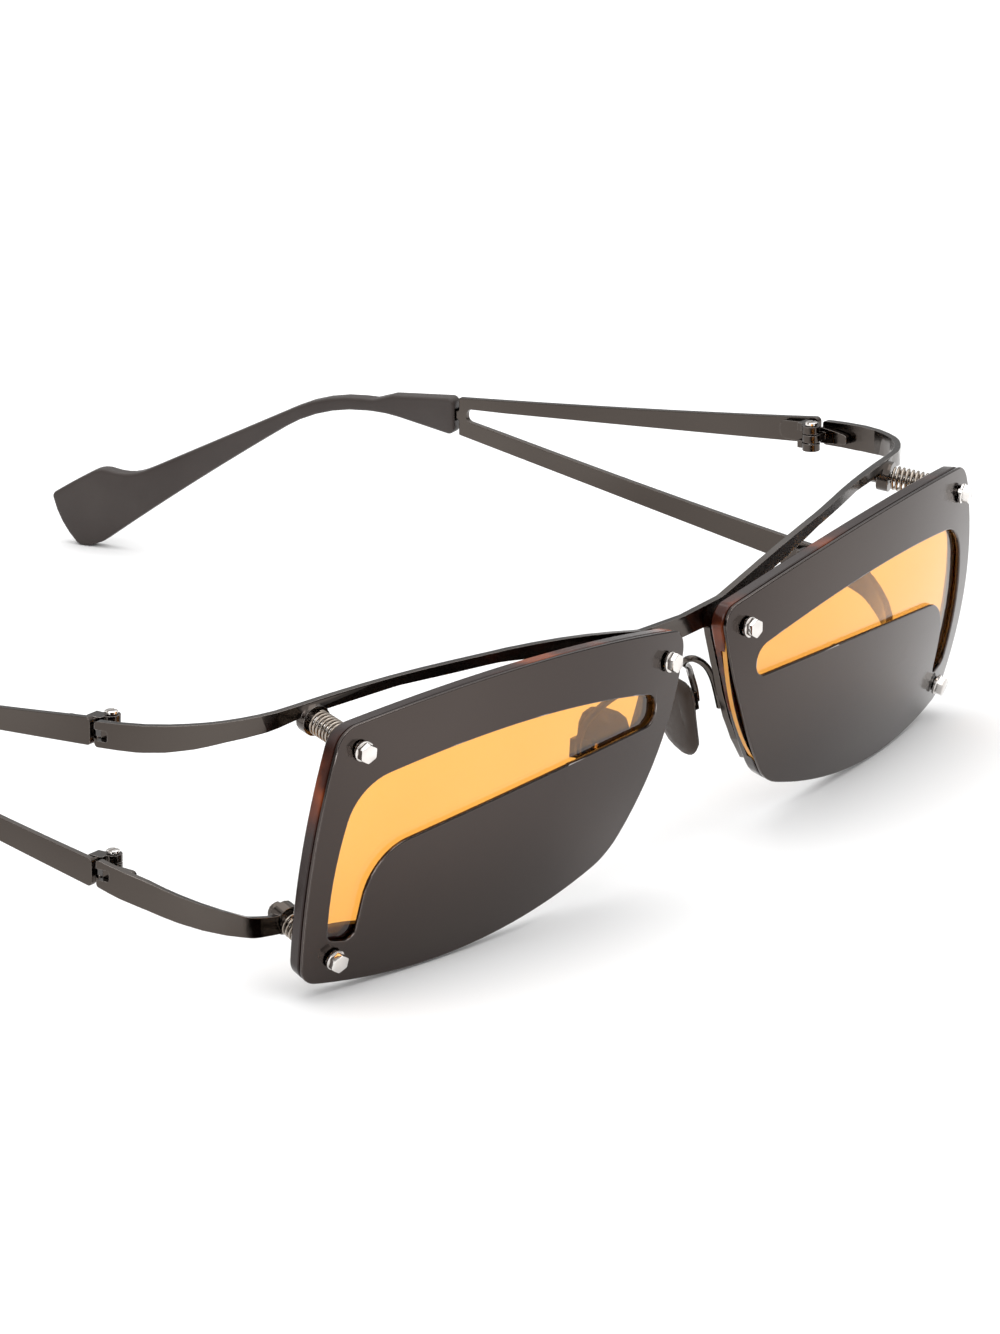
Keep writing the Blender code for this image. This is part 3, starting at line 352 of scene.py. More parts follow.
def outward_facing(verts, faces):
    """Turns every face outward, by the sign of the enclosed volume."""
    volume = 0.0
    for face in faces:
        a = Vector(verts[face[0]])
        for i in range(1, len(face) - 1):
            volume += a.dot(Vector(verts[face[i]]).cross(Vector(verts[face[i + 1]])))
    if volume < 0.0:
        faces = [tuple(reversed(face)) for face in faces]
    return verts, faces


def lens_surface(x, z):
    """Y of the plate's front face."""
    return APEX_Y + (abs(x) - APEX_X) ** 2 / (2.0 * WRAP_RADIUS) + (z - APEX_Z) ** 2 / (2.0 * DROP_RADIUS)


def on_bolt(which, depth):
    """The point of a bolt's axis that lies a given depth behind the plate's front face, measured along Y."""
    (x, z), way = BOLTS[which]
    return Vector((x, lens_surface(x, z), z)) + way * (depth / way.y)


def surface_normal(x, z):
    """Direction into the stack, square to the plate's front face, on the wearer's left."""
    return Vector(((APEX_X - x) / WRAP_RADIUS, 1.0, (APEX_Z - z) / DROP_RADIUS)).normalized()


def hole_at(which, depth):
    """Where a bolt crosses the sheet that lies at a depth: a point of the flat pattern."""
    u, v = BOLTS[which][0]
    front = lens_surface(u, v)
    for _ in range(6):
        normal = surface_normal(u, v)
        point = on_bolt(which, lens_surface(u, v) + depth * normal.y - front)
        u = point.x - depth * normal.x
        v = point.z - depth * normal.z
    return u, v


def layer_place(x, z, depth):
    """Bends a flat layer to the lens surface."""
    normal = surface_normal(x, z)
    return (x + depth * normal.x, lens_surface(x, z) + depth * normal.y, z + depth * normal.z)


def stack_cuts(middle):
    """Grid lines of a stack layer; a line runs through each bolt hole."""
    cuts_u = grid_lines(6.0, STACK_GRID_STEP, 25)
    cuts_v = grid_lines(0.9, STACK_GRID_STEP, 13)
    room = STACK_GRID_STEP / 2.0
    for which in BOLTS:
        u, v = hole_at(which, middle)
        cuts_u = [cut for cut in cuts_u if abs(cut - u) > room] + [u]
        cuts_v = [cut for cut in cuts_v if abs(cut - v) > room] + [v]
    return sorted(cuts_u), sorted(cuts_v)


def stack_layer(loop, start, thick, edge, inner):
    """One curved sheet of the lens stack with rounded edges."""
    middle = start + thick / 2.0
    loops = [outline(loop)] + [circle(*hole_at(which, middle), LAYER_HOLE_RADIUS) for which in BOLTS]
    if inner:
        loops.append(outline(inner))
    end = start + thick
    turn = ROUND_MIDDLE * edge
    layers = [(edge, start), (turn, start + turn), (0.0, start + edge),
              (0.0, end - edge), (turn, end - turn), (edge, end)]
    return sheet(loops, *stack_cuts(middle), layers, layer_place)


def cut_away(base, tool):
    """The first closed shape less the second, by an exact Boolean."""
    pieces = []
    for verts, faces in (base, tool):
        mesh = bpy.data.meshes.new("part")
        mesh.from_pydata(verts, [], faces)
        mesh.update()
        piece = bpy.data.objects.new("part", mesh)
        bpy.context.scene.collection.objects.link(piece)
        pieces.append(piece)
    modifier = pieces[0].modifiers.new("cut", "BOOLEAN")
    modifier.operation = "DIFFERENCE"
    modifier.solver = "EXACT"
    modifier.object = pieces[1]
    bpy.context.view_layer.update()
    result = bpy.data.meshes.new_from_object(pieces[0].evaluated_get(bpy.context.evaluated_depsgraph_get()))
    verts = [tuple(v.co) for v in result.vertices]
    faces = [tuple(polygon.vertices) for polygon in result.polygons]
    bpy.data.meshes.remove(result)
    for piece in pieces:
        bpy.data.meshes.remove(piece.data)
    return verts, faces


# ---------------------------------------------------------------- turned and swept shapes

def loft(rings, closed=False):
    """Joins rings of equally many points; the ends are capped, or joined to each other if closed."""
    size = len(rings[0])
    verts = [tuple(point) for ring_points in rings for point in ring_points]
    faces = []
    pairs = [(i, i + 1) for i in range(len(rings) - 1)]
    if closed:
        pairs.append((len(rings) - 1, 0))
    for a, b in pairs:
        for i in range(size):
            j = (i + 1) % size
            faces.append((a * size + i, a * size + j, b * size + j, b * size + i))
    if not closed:
        last = (len(rings) - 1) * size
        faces.append(tuple(reversed(range(size))))
        faces.append(tuple(range(last, last + size)))
    return outward_facing(verts, faces)


def frame_at(origin, along, hint=(0.0, 0.0, 1.0)):
    """A placement whose local Z runs along a direction, with local X as near to the hint as it can be."""
    z = Vector(along).normalized()
    x = Vector(hint) - z * z.dot(Vector(hint))
    x.normalize()
    y = z.cross(x)
    turn = Matrix((x, y, z)).transposed().to_4x4()
    return Matrix.Translation(Vector(origin)) @ turn


def ring(place, radius, height, count=36, sides=None, soften=0.0):
    """A circle, or a hexagon with the same number of points, around a placement's Z axis."""
    points = []
    for i in range(count):
        angle = math.tau * i / count
        reach = radius
        if sides:
            sector = math.tau / sides
            reach = radius * math.cos(sector / 2.0) / math.cos((angle % sector) - sector / 2.0)
            reach = min(reach, radius * (1.0 - soften))
        points.append(place @ Vector((reach * math.cos(angle), reach * math.sin(angle), height)))
    return points


def hexagon(place, radius, height):
    """A hexagonal ring with its corners cut slightly."""
    return ring(place, radius, height, sides=6, soften=HEX_CORNER_CUT)


def tube(points, radius, sides, place):
    """A round rod swept along points, with rounded ends."""
    path = [place @ Vector(p) for p in points]
    rings = []
    normal = None
    last = len(path) - 1
    for i, point in enumerate(path):
        direction = (path[min(i + 1, last)] - path[max(i - 1, 0)]).normalized()
        if normal is None:
            normal = direction.orthogonal().normalized()
        normal = (normal - direction * normal.dot(direction)).normalized()
        side = direction.cross(normal)
        reach = radius * (WIRE_END if i in (0, last) else 1.0)
        rings.append([point + reach * (math.cos(math.tau * k / sides) * normal
                                       + math.sin(math.tau * k / sides) * side) for k in range(sides)])
    return loft(rings)


def bolt_place(which):
    """The placement of a bolt: its origin is on the plate's front face and local Z runs into the stack."""
    return frame_at(on_bolt(which, 0.0), BOLTS[which][1])


def bolt_shape(which, shank):
    """A hexagon-headed bolt with a flange, a chamfered head and rings for the thread behind the stack."""
    place = bolt_place(which)
    base = -HEAD_CLEARANCE
    seat = base - FLANGE_THICK
    top = seat - HEAD_HEIGHT
    rings = [
        hexagon(place, HEAD_CORNER_RADIUS - HEAD_CHAMFER, top),
        hexagon(place, HEAD_CORNER_RADIUS - HEAD_CHAMFER / 3.0, top + HEAD_CHAMFER / 3.0),
        hexagon(place, HEAD_CORNER_RADIUS, top + HEAD_CHAMFER),
        hexagon(place, HEAD_CORNER_RADIUS, seat + SMALL_ROUND),
        hexagon(place, HEAD_CORNER_RADIUS * HEAD_FOOT, seat),
        ring(place, FLANGE_RADIUS - 2.5 * SMALL_ROUND, seat),
        ring(place, FLANGE_RADIUS, seat + 2.0 * SMALL_ROUND),
        ring(place, FLANGE_RADIUS, base - SMALL_ROUND),
        ring(place, FLANGE_RADIUS - SMALL_ROUND, base),
        ring(place, SHANK_RADIUS, base),
        ring(place, SHANK_RADIUS, STACK_DEPTH),
    ]
    height = STACK_DEPTH + THREAD_PITCH / 2.0
    while height < shank - 1.25 * THREAD_PITCH:
        rings.append(ring(place, SHANK_RADIUS - THREAD_DEPTH, height))
        rings.append(ring(place, SHANK_RADIUS, height + THREAD_PITCH / 2.0))
        height += THREAD_PITCH
    rings.append(ring(place, SHANK_RADIUS - BOLT_POINT, shank))
    return loft(rings)


def nut_shape(which, start):
    """A plain hexagonal nut with its corners turned down and its bore countersunk."""
    place = bolt_place(which)
    end = start + NUT_HEIGHT
    rings = [
        ring(place, BOLT_HOLE_RADIUS - NUT_LIP, start + NUT_LIP_DEPTH),
        ring(place, BOLT_HOLE_RADIUS, start),
        ring(place, NUT_CORNER_RADIUS * NUT_FACE, start),
        hexagon(place, NUT_CORNER_RADIUS, start + NUT_CHAMFER),
        hexagon(place, NUT_CORNER_RADIUS, end - NUT_CHAMFER),
        ring(place, NUT_CORNER_RADIUS * NUT_FACE, end),
        ring(place, BOLT_HOLE_RADIUS, end),
        ring(place, BOLT_HOLE_RADIUS - NUT_LIP, end - NUT_LIP_DEPTH),
    ]
    return loft(rings, closed=True)


def spring_shape(which, start, end, turns):
    """A coil spring with closed ends, round the bolt."""
    low = start + SPRING_WIRE_RADIUS
    high = end - SPRING_WIRE_RADIUS
    dead = SPRING_DEAD_TURNS
    steps = turns * SPRING_STEPS_PER_TURN
    points = []
    for i in range(steps + 1):
        turn = turns * i / steps
        share = min(max((turn - dead) / (turns - 2.0 * dead), 0.0), 1.0)
        lead = SPRING_CLOSED_PITCH * (min(turn, dead) + max(turn - turns + dead, 0.0))
        height = low + lead + share * (high - low - 2.0 * SPRING_CLOSED_PITCH * dead)
        angle = math.tau * turn
        points.append((SPRING_RADIUS * math.cos(angle), SPRING_RADIUS * math.sin(angle), height))
    return tube(points, SPRING_WIRE_RADIUS, WIRE_SIDES, bolt_place(which))


# ---------------------------------------------------------------- materials

class Look:
    """A Principled material under construction, with short names for the nodes that these surfaces share."""

    def __init__(self, name, **values):
        self.material = bpy.data.materials.new(name)
        self.material.use_nodes = True
        self.tree = self.material.node_tree
        self.shader = self.tree.nodes["Principled BSDF"]
        for key, value in values.items():
            self.shader.inputs[key.replace("_", " ")].default_value = value
        self.where = self.tree.nodes.new("ShaderNodeTexCoord").outputs["Object"]

    def link(self, source, target):
        self.tree.links.new(source, target)

    def set(self, key, source):
        self.link(source, self.shader.inputs[key])

    def noise(self, scale, stretch=(1.0, 1.0, 1.0), detail=3.0, rough=0.5, shift=0.0):
        """Noise with the given scale, stretched along axes."""
        mapping = self.tree.nodes.new("ShaderNodeMapping")
        mapping.inputs["Scale"].default_value = stretch
        mapping.inputs["Location"].default_value = (shift, shift, shift)
        self.link(self.where, mapping.inputs["Vector"])
        node = self.tree.nodes.new("ShaderNodeTexNoise")
        node.inputs["Scale"].default_value = scale
        node.inputs["Detail"].default_value = detail
        node.inputs["Roughness"].default_value = rough
        self.link(mapping.outputs["Vector"], node.inputs["Vector"])
        return node.outputs["Fac"]

    def ramp(self, source, low, high, a, b):
        """Maps low..high of a value to a..b."""
        node = self.tree.nodes.new("ShaderNodeMapRange")
        node.inputs["From Min"].default_value = low
        node.inputs["From Max"].default_value = high
        node.inputs["To Min"].default_value = a
        node.inputs["To Max"].default_value = b
        self.link(source, node.inputs["Value"])
        return node.outputs["Result"]

    def spread(self, noise, a, b):
        """Maps the range that a noise mostly keeps to onto a..b."""
        return self.ramp(noise, 0.3, 0.7, a, b)

    def tones(self, noise, dark, light):
        """Wanders between two colours with a noise."""
        return self.mix(self.spread(noise, 0.0, 1.0), dark, light)

    def colors(self, source, stops):
        """A colour ramp over a value."""
        node = self.tree.nodes.new("ShaderNodeValToRGB")
        ramp = node.color_ramp
        while len(ramp.elements) < len(stops):
            ramp.elements.new(0.5)
        for element, (position, color) in zip(ramp.elements, stops):
            element.position = position
            element.color = (*color, 1.0)
        self.link(source, node.inputs["Fac"])
        return node.outputs["Color"]

    def mix(self, factor, a, b):
        """Mixes two colours, each a socket or a plain colour, by a value."""
        node = self.tree.nodes.new("ShaderNodeMix")
        node.data_type = "RGBA"
        self.link(factor, node.inputs["Factor"])
        for value, key in ((a, "A"), (b, "B")):
            socket = [s for s in node.inputs if s.name == key and s.type == "RGBA"][0]
            if isinstance(value, tuple):
                socket.default_value = (*value, 1.0)
            else:
                self.link(value, socket)
        return [s for s in node.outputs if s.type == "RGBA"][0]

    def math(self, operation, a, b):
        """Arithmetic on two values, each a socket or a number."""
        node = self.tree.nodes.new("ShaderNodeMath")
        node.operation = operation
        for value, socket in ((a, node.inputs[0]), (b, node.inputs[1])):
            if isinstance(value, float):
                socket.default_value = value
            else:
                self.link(value, socket)
        return node.outputs["Value"]

    def rounded(self, radius):
        """The surface's direction as if its edges had the given radius, in metres."""
        bevel = self.tree.nodes.new("ShaderNodeBevel")
        bevel.samples = 4
        bevel.inputs["Radius"].default_value = radius
        return bevel.outputs["Normal"]

    def relief(self, height, distance, strength, round_edge=0.0):
        """Bump from a height, over edges rounded by the given radius in metres."""
        normal = self.rounded(round_edge) if round_edge else None
        bump = self.tree.nodes.new("ShaderNodeBump")
        bump.inputs["Distance"].default_value = distance
        bump.inputs["Strength"].default_value = strength
        self.link(height, bump.inputs["Height"])
        if normal:
            self.link(normal, bump.inputs["Normal"])
        self.set("Normal", bump.outputs["Normal"])

    def edge_line(self, radius):
        """1 along the edges of a piece and 0 on its faces: how far rounding would turn the surface. It places the
        painted edge highlights.
        """
        rounded = self.rounded(radius)
        true = self.tree.nodes.new("ShaderNodeNewGeometry").outputs["Normal"]
        dot = self.tree.nodes.new("ShaderNodeVectorMath")
        dot.operation = "DOT_PRODUCT"
        self.link(rounded, dot.inputs[0])
        self.link(true, dot.inputs[1])
        return self.ramp(dot.outputs["Value"], 0.97, 0.85, 0.0, 1.0)


def gunmetal():
    """Dark warm metal, drawn lengthwise, with a painted highlight along its edges."""
    look = Look("gunmetal", Metallic=1.0)
    lines = look.noise(900.0, stretch=(1.0, 0.06, 1.0), detail=4.0, rough=0.6)
    cloud = look.noise(60.0, stretch=(1.0, 0.5, 1.0), detail=1.0)
    face = look.tones(cloud, (0.057, 0.047, 0.041), (0.089, 0.076, 0.067))
    # The light colour along the edges is a painted highlight: the rounded edges' reflection of the bright room,
    # painted into the base colour.
    look.set("Base Color", look.mix(look.edge_line(0.00012), face, (0.3, 0.27, 0.25)))
    look.set("Roughness", look.math("ADD", look.spread(cloud, 0.11, 0.17), look.spread(lines, -0.03, 0.03)))
    look.relief(lines, distance=0.000008, strength=0.4, round_edge=0.00012)
    return look.material


def plate_metal():
    """The lens plates: dark metal brushed up and down, with a fine painted highlight along the edges."""
    look = Look("plate_metal", Metallic=1.0)
    brush = look.noise(2600.0, stretch=(0.03, 1.0, 1.0), detail=2.0, rough=0.6)
    wide = look.noise(25.0, detail=0.0)
    face = look.tones(wide, (0.056, 0.045, 0.041), (0.077, 0.063, 0.057))
    # The light colour along the edges is a painted highlight: the chamfers' reflection of the bright room, painted
    # into the base colour.
    look.set("Base Color", look.mix(look.edge_line(0.0001), face, (0.42, 0.38, 0.36)))
    look.set("Roughness", look.math("ADD", look.spread(wide, 0.13, 0.16), look.spread(brush, -0.02, 0.02)))
    look.shader.inputs["Anisotropic"].default_value = 0.3
    look.relief(brush, distance=0.000004, strength=0.35)
    return look.material


def amber_lens():
    """Clear amber on the faces; the ground edge scatters light."""
    look = Look("amber_lens", IOR=1.5)
    cloud = look.noise(30.0, detail=1.0)
    split = look.tree.nodes.new("ShaderNodeSeparateXYZ")
    look.link(look.tree.nodes.new("ShaderNodeNewGeometry").outputs["Normal"], split.inputs["Vector"])
    facing = look.math("ABSOLUTE", split.outputs["Y"], 0.0)
    ground = look.ramp(facing, 0.75, 0.55, 0.0, 1.0)
    clear = look.mix(look.ramp(cloud, 0.35, 0.65, 0.0, 1.0), (0.97, 0.45, 0.087), (0.97, 0.42, 0.073))
    look.set("Base Color", look.mix(ground, clear, (0.95, 0.42, 0.06)))
    look.set("Transmission Weight", look.ramp(ground, 0.0, 1.0, 1.0, 0.25))
    look.set("Roughness", look.ramp(ground, 0.0, 1.0, 0.02, 0.45))
    look.relief(look.noise(60.0, detail=2.0), distance=0.00001, strength=0.3)
    return look.material


def tortoise():
    """Nearly black acetate with patches of amber, mostly at the outer ends, the nose side and the top."""
    look = Look("tortoise_acetate", IOR=1.49)
    look.shader.inputs["Specular IOR Level"].default_value = 0.3
    patch = look.noise(70.0, stretch=(1.0, 1.0, 1.5), detail=2.0, shift=0.4)
    grain = look.noise(420.0, stretch=(0.6, 1.0, 1.0), detail=2.0)
    split = look.tree.nodes.new("ShaderNodeSeparateXYZ")
    look.link(look.where, split.inputs["Vector"])
    upper = look.ramp(split.outputs["Z"], 0.02, 0.034, -0.08, 0.02)
    across = look.math("ABSOLUTE", split.outputs["X"], 0.0)
    outer = look.ramp(across, 0.063, 0.068, -0.06, 0.025)
    ends = look.math("MAXIMUM", outer, look.ramp(across, 0.012, 0.007, -0.06, 0.2))
    place = look.math("ADD", upper, ends)
    blend = look.math("ADD", look.math("ADD", patch, place), look.spread(grain, -0.02, 0.02))
    look.set("Base Color", look.colors(blend, (
        (0.0, (0.01, 0.0045, 0.0035)),
        (0.5, (0.018, 0.007, 0.005)),
        (0.58, (0.05, 0.012, 0.006)),
        (0.68, (0.24, 0.05, 0.012)),
        (1.0, (0.45, 0.13, 0.03)),
    )))
    look.set("Roughness", look.spread(grain, 0.14, 0.22))
    look.shader.inputs["Transmission Weight"].default_value = 0.06
    look.relief(grain, distance=0.000006, strength=0.3)
    return look.material


def bright_steel():
    """Polished steel of the bolts and hinge screws."""
    look = Look("bright_steel", Metallic=1.0)
    cloud = look.noise(500.0)
    look.set("Base Color", look.tones(cloud, (0.7, 0.665, 0.635), (0.84, 0.81, 0.78)))
    look.set("Roughness", look.spread(cloud, 0.05, 0.12))
    scratch = look.noise(2500.0, stretch=(0.2, 1.0, 1.0), detail=2.0)
    look.relief(scratch, distance=0.000003, strength=0.3, round_edge=0.00004)
    return look.material


def spring_steel():
    """Duller, warmer steel of the coil springs."""
    look = Look("spring_steel", Metallic=1.0)
    cloud = look.noise(900.0)
    look.set("Base Color", look.tones(cloud, (0.24, 0.2, 0.165), (0.42, 0.37, 0.32)))
    look.set("Roughness", look.spread(cloud, 0.12, 0.24))
    look.relief(cloud, distance=0.000005, strength=0.3)
    return look.material


def matte_plastic(name, dark, light, scale, rough):
    """Dark plastic with a fine moulded grain, for the temple tips and the nose pads."""
    look = Look(name, IOR=1.46)
    look.shader.inputs["Specular IOR Level"].default_value = 0.35
    grain = look.noise(scale, rough=0.6)
    cloud = look.noise(90.0, detail=2.0)
    look.set("Base Color", look.tones(cloud, dark, light))
    base = look.ramp(cloud, 0.0, 1.0, rough, rough + 0.05)
    look.set("Roughness", look.math("ADD", look.spread(grain, -0.07, 0.07), base))
    look.relief(grain, distance=0.00003, strength=0.4, round_edge=0.0002)
    return look.material


def screw_brass():
    """Brass of the pins in the pad boxes."""
    look = Look("screw_brass", Metallic=1.0)
    cloud = look.noise(700.0)
    look.set("Base Color", look.tones(cloud, (0.42, 0.3, 0.17), (0.6, 0.46, 0.3)))
    look.set("Roughness", look.spread(cloud, 0.18, 0.32))
    look.relief(cloud, distance=0.000008, strength=0.3, round_edge=0.00006)
    return look.material


LOOKS = {
    "gunmetal": gunmetal(),
    "plate_metal": plate_metal(),
    "amber_lens": amber_lens(),
    "tortoise_acetate": tortoise(),
    "bright_steel": bright_steel(),
    "spring_steel": spring_steel(),
    "tip_plastic": matte_plastic("tip_plastic", (0.036, 0.027, 0.024), (0.05, 0.04, 0.036), 2200.0, 0.36),
    "pad_plastic": matte_plastic("pad_plastic", (0.034, 0.022, 0.016), (0.048, 0.033, 0.024), 1800.0, 0.42),
    "screw_brass": screw_brass(),
}
SLOT_OF = {row["node"]: row["material_slot"] for row in frame["record"]["subparts"]}
BODY_OF = {node: body for body, nodes in frame["record"]["behaviour"]["bodies"].items() for node in nodes}


# ---------------------------------------------------------------- how a piece stands for its CAD node

def stand_for(node, mesh, sharp):
    """Makes a piece that takes a CAD node's place, rides on its body and has its look."""
    mesh.shade_smooth()
    mesh.set_sharp_from_angle(angle=math.radians(sharp))
    mesh.materials.clear()
    mesh.materials.append(LOOKS[SLOT_OF[node]])
    piece = bpy.data.objects.new(node + "_surface", mesh)
    bpy.context.scene.collection.objects.link(piece)
    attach(piece, BODY_OF[node])
    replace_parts(piece, node)


def shape_mesh(name, shape, mirror):
    """A mesh in metres of a shape in millimetres; the right-hand one is its mirror image."""
    verts, faces = shape
    side = -1.0 if mirror else 1.0
    points = [(side * v[0] * MM, (v[1] + DATUM_Y) * MM, (v[2] + DATUM_Z) * MM) for v in verts]
    if mirror:
        faces = [tuple(reversed(face)) for face in faces]
    mesh = bpy.data.meshes.new(name)
    mesh.from_pydata(points, [], faces)
    mesh.update()
    return mesh


def fine_pair(name, shape, sharp):
    """A finer shape that stands for a node on both sides."""
    stand_for(name + "_left", shape_mesh(name, shape, False), sharp)
    stand_for(name + "_right", shape_mesh(name, shape, True), sharp)


# ---------------------------------------------------------------- lens stacks and their fasteners

def lens_stacks():
    """Plate, lens and acetate rim; the lens lies in a recess of the rim."""
    plate = stack_layer(STACK_OUTLINE, 0.0, PLATE_THICK, PLATE_EDGE, WINDOW_OUTLINE)
    lens = stack_layer(LENS_OUTLINE, LENS_DEPTH, LENS_THICK, LENS_EDGE, None)
    acetate = stack_layer(STACK_OUTLINE, ACETATE_DEPTH, ACETATE_THICK, ACETATE_EDGE, RIM_OPENING)
    recess_layers = [(-LAYER_GAP, ACETATE_DEPTH - 1.0), (-LAYER_GAP, RECESS_END)]
    recess = sheet([outline(LENS_OUTLINE)], *stack_cuts(RECESS_END), recess_layers, layer_place)
    fine_pair("front_plate", plate, SHEET_SHARP)
    fine_pair("tinted_lens", lens, SHEET_SHARP)
    fine_pair("acetate_rim", cut_away(acetate, recess), RIM_SHARP)


def fasteners():
    """A bolt and its nut at each of the three places."""
    for which in BOLTS:
        nut_end = NUT_AT[which] + NUT_HEIGHT
        fine_pair("bolt_" + which, bolt_shape(which, nut_end + BOLT_PAST_NUT), BOLT_SHARP)
        fine_pair("nut_" + which, nut_shape(which, NUT_AT[which]), BOLT_SHARP)


def springs():
    """Coil springs on the two outer bolts, between the stack and the lug."""
    for which, turns in SPRING_TURNS.items():
        low = STACK_DEPTH + SPRING_END_GAP + SPRING_SLANT_ROOM
        high = LUG_AT[which] - LUG_FRONT - SPRING_END_GAP
        fine_pair("spring_" + which, spring_shape(which, low, high, turns), SPRING_SHARP)


lens_stacks()
fasteners()
springs()


# ---------------------------------------------------------------- temples and their tips

TEMPLE_X = 80.4
STRAIGHT_END = 30.0
SPLAY = 0.065
BEND = 5.4
BEND_RUN = 113.6
BEND_POWER = 2.5
TEMPLE_START = 30.1
SLEEVE_START = 86.4
TONGUE_START = 85.9
TONGUE_END = 94.0
TONGUE_LOW = 24.2
TONGUE_HIGH = 25.4
SLEEVE_HALF = 1.15
SLEEVE_EDGE = 0.45
SLOT_PLAY = 0.25
SLOT_END_PLAY = 0.4
SLOT_SIDE_PLAY = 0.22
SLOT_OVERRUN = 2.0
EDGE_STEPS = 4

TEMPLE_OUTLINE = (
    (TEMPLE_START, 10.8, 0.6, 0.15),
    (TONGUE_START, 22.0, 0.2, 0.0),
    (TONGUE_START, TONGUE_LOW, 0.3, 0.0),
    (TONGUE_END, TONGUE_LOW, 0.4, 0.0),
    (TONGUE_END, TONGUE_HIGH, 0.4, 0.0),
    (TONGUE_START, TONGUE_HIGH, 0.3, 0.0),
    (TONGUE_START, 27.25, 0.2, -0.3),
    (TEMPLE_START, 32.55, 0.6, 0.0),
    (TEMPLE_START, 28.95, 0.5, 0.1),
    (79.0, 26.0, 10.0, 0.0),
    (84.7, 25.8, 0.8, 0.0),
    (84.7, 24.1, 0.8, 0.0),
    (79.0, 23.0, 10.0, -0.3),
    (TEMPLE_START, 14.4, 0.6, 0.0),
)
SLEEVE_OUTLINE = (
    (SLEEVE_START, 21.9, 0.9, 0.0),
    (97.0, 23.7, 20.0, 0.0),
    (107.0, 23.4, 25.0, -0.4),
    (141.2, -0.7, 3.0, 0.0),
    (143.4, -1.6, 0.3, 0.0),
    (145.0, -1.6, 1.2, 0.65),
    (149.0, 5.4, 0.9, 0.1),
    (141.4, 10.1, 4.0, 0.0),
    (137.0, 9.2, 10.0, 0.0),
    (106.3, 25.2, 24.0, 0.0),
    (98.9, 25.4, 1.5, 0.0),
    (96.0, 26.4, 1.5, 0.0),
    (SLEEVE_START, 27.3, 0.9, 0.0),
)


def temple_x(y):
    """The temple's run in plan: nearly straight at the hinge, closing in towards the tip."""
    run = max(0.0, y - STRAIGHT_END)
    return TEMPLE_X - SPLAY * run - BEND * (run / BEND_RUN) ** BEND_POWER


def temple_place(y, z, depth):
    """Bends a flat side view to the temple's run; depth counts outwards from its middle."""
    slope = temple_x(y + 0.5) - temple_x(y - 0.5)
    way = Vector((slope, 1.0)).normalized()
    return (temple_x(y) + way.y * depth, y - way.x * depth, z)


def rounded_layers(half, edge):
    """The layers of a sheet with quarter-round edges: pairs of inset and depth."""
    angles = [math.radians(90.0 * i / EDGE_STEPS) for i in range(EDGE_STEPS + 1)]
    front = [(edge * (1.0 - math.sin(a)), half - edge * (1.0 - math.cos(a))) for a in angles]
    return front + [(inset, -depth) for inset, depth in reversed(front)]


def temples():
    """Forked temples: two flat arms that meet in a tongue."""
    layers = rounded_layers(STRIP_THICK / 2.0, TEMPLE_EDGE)
    arm = sheet([outline(TEMPLE_OUTLINE)], grid_lines(33.5, 4.1, 15), [], layers, temple_place)
    fine_pair("temple", arm, TEMPLE_SHARP)


def temple_tips():
    """Flat plastic tips with a slot for the tongue."""
    layers = rounded_layers(SLEEVE_HALF, SLEEVE_EDGE)
    sleeve = sheet([outline(SLEEVE_OUTLINE)], grid_lines(87.9, 3.05, 19), [], layers, temple_place)
    low = TONGUE_LOW - SLOT_PLAY
    high = TONGUE_HIGH + SLOT_PLAY
    mouth = SLEEVE_START - SLOT_OVERRUN
    end = TONGUE_END + SLOT_END_PLAY
    half = STRIP_THICK / 2.0 + SLOT_SIDE_PLAY
    slot = sheet([[(mouth, low), (end, low), (end, high), (mouth, high)]], [90.0], [],
                 [(0.0, half), (0.0, -half)], temple_place)
    fine_pair("temple_tip", cut_away(sleeve, slot), TIP_SHARP)


temples()
temple_tips()


# ---------------------------------------------------------------- every other piece

WELD_DISTANCE = 1e-6  # metres
FLAT_ANGLE = 0.5  # degrees


def smooth_copy(node):
    """A welded, smooth-shaded copy of a CAD node's surface."""
    bm = bmesh.new()
    bm.from_mesh(frame["nodes"][node].data)
    bmesh.ops.remove_doubles(bm, verts=bm.verts[:], dist=WELD_DISTANCE)
    bmesh.ops.dissolve_limit(bm, angle_limit=math.radians(FLAT_ANGLE), verts=bm.verts[:], edges=bm.edges[:])
    mesh = bpy.data.meshes.new(node + "_surface")
    bm.to_mesh(mesh)
    bm.free()
    stand_for(node, mesh, COPY_SHARP)


made = {piece["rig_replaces"][0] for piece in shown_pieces() if "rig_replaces" in piece}
for node in sorted(frame["nodes"]):
    if node not in made:
        smooth_copy(node)


# ---------------------------------------------------------------- floor, light and camera

FLOOR_REACH = 6.0
FLOOR_DROP = 0.00005
ROOM_STRENGTH = 1.15
ROOM_BAND = ((0.0, 0.5), (0.12, 0.28), (0.3, 0.4), (0.5, 1.0))  # pairs of height and grey


def paper_floor():
    """A sheet of white paper, just under the lowest point of the glasses."""
    corners = [(-FLOOR_REACH, -FLOOR_REACH, 0.0), (FLOOR_REACH, -FLOOR_REACH, 0.0),
               (FLOOR_REACH, FLOOR_REACH, 0.0), (-FLOOR_REACH, FLOOR_REACH, 0.0)]
    mesh = bpy.data.meshes.new("floor")
    mesh.from_pydata(corners, [], [(0, 1, 2, 3)])
    floor = bpy.data.objects.new("floor", mesh)
    floor.location = (0.0, 0.0, -FLOOR_DROP)
    bpy.context.scene.collection.objects.link(floor)
    paper = Look("paper", Roughness=0.9, IOR=1.3)
    paper.set("Base Color", paper.mix(paper.noise(3.0), (0.93, 0.93, 0.93), (0.95, 0.95, 0.95)))
    mesh.materials.append(paper.material)


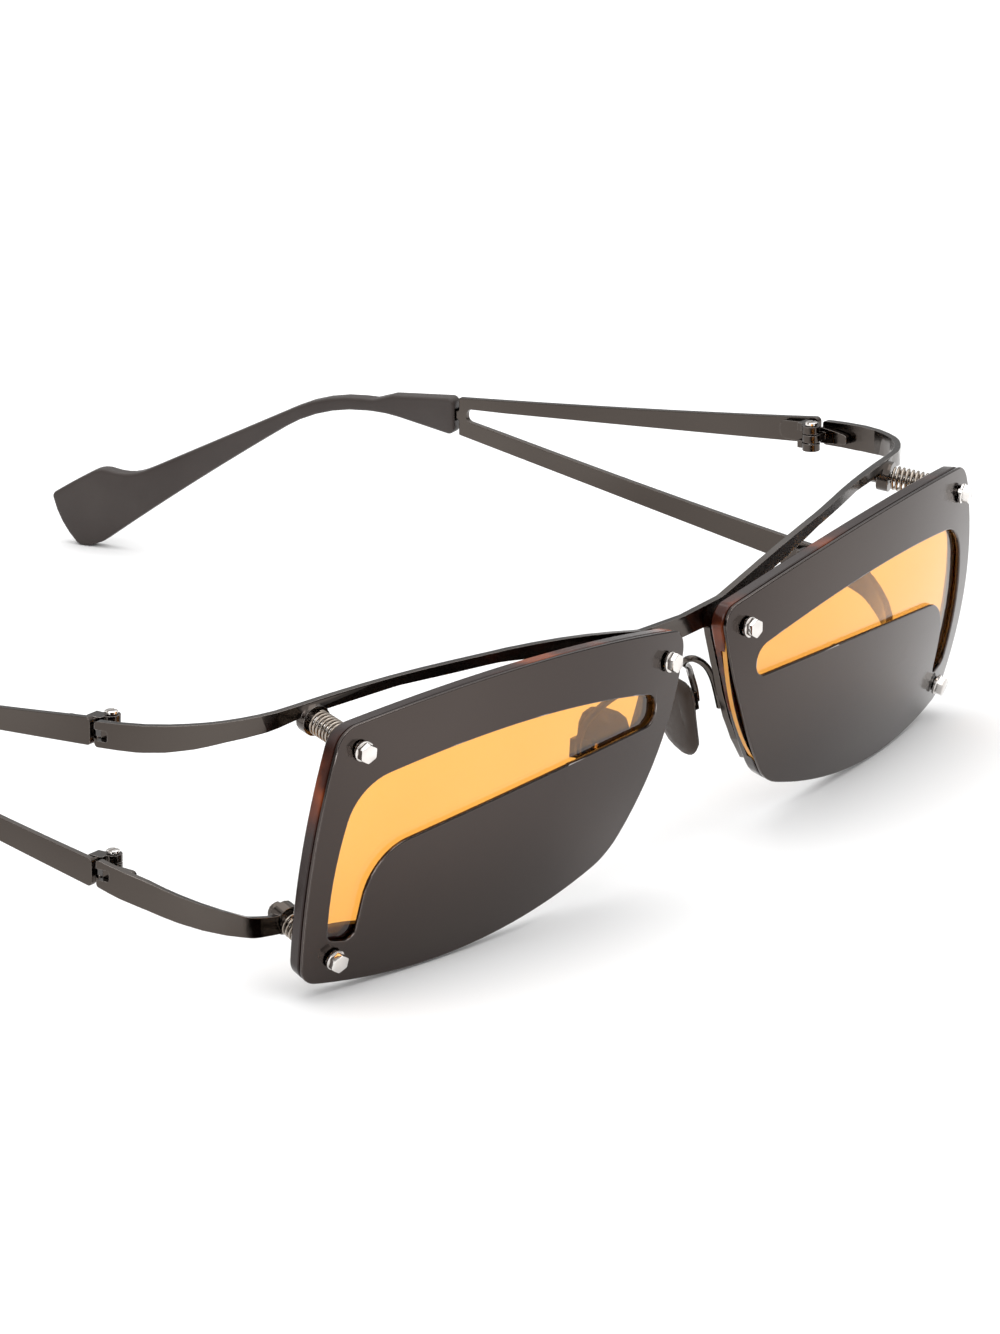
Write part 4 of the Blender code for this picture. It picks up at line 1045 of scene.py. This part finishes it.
def studio_room():
    """A room that is white overhead and darker in a band above the floor, for the metal to mirror."""
    world = bpy.data.worlds.new("studio")
    world.use_nodes = True
    tree = world.node_tree
    direction = tree.nodes.new("ShaderNodeTexCoord").outputs["Generated"]
    split = tree.nodes.new("ShaderNodeSeparateXYZ")
    band = tree.nodes.new("ShaderNodeValToRGB")
    tree.links.new(direction, split.inputs["Vector"])
    tree.links.new(split.outputs["Z"], band.inputs["Fac"])
    tree.links.new(band.outputs["Color"], tree.nodes["Background"].inputs["Color"])
    while len(band.color_ramp.elements) < len(ROOM_BAND):
        band.color_ramp.elements.new(0.5)
    for element, (height, grey) in zip(band.color_ramp.elements, ROOM_BAND):
        element.position = height
        element.color = (grey, grey, grey, 1.0)
    tree.nodes["Background"].inputs["Strength"].default_value = ROOM_STRENGTH
    bpy.context.scene.world = world


def softbox(name, location, size, power):
    """A square white area light aimed at the glasses."""
    light = bpy.data.lights.new(name, "AREA")
    light.shape = "RECTANGLE"
    light.size = size
    light.size_y = size
    light.energy = power
    lamp = bpy.data.objects.new(name, light)
    lamp.location = location
    lamp.rotation_euler = (-Vector(location)).to_track_quat("-Z", "Y").to_euler()
    bpy.context.scene.collection.objects.link(lamp)


paper_floor()
studio_room()
softbox("top_softbox", (0.1, 0.05, 0.9), 0.9, 3.5)
softbox("left_softbox", (-0.8, -0.2, 0.6), 0.5, 1.5)
bpy.context.scene.view_settings.view_transform = "Standard"

# The camera stands 55 degrees to the wearer's right of straight ahead and 17 degrees up.
CAMERA_AT = Vector((-965.8, -650.2 + DATUM_Y, 389.2 + DATUM_Z)) * MM
LOOK_AT = Vector((-37.33, DATUM_Y, 33.16 + DATUM_Z)) * MM
camera_data = bpy.data.cameras.new("camera")
camera_data.sensor_fit = "HORIZONTAL"
camera_data.sensor_width = 36.0
camera_data.lens = 348.7
camera_data.clip_start = 0.05
camera_data.clip_end = 20.0
camera = bpy.data.objects.new("camera", camera_data)
camera.location = CAMERA_AT
camera.rotation_euler = (LOOK_AT - CAMERA_AT).to_track_quat("-Z", "Y").to_euler()
bpy.context.scene.collection.objects.link(camera)
bpy.context.scene.camera = camera

bpy.context.view_layer.update()
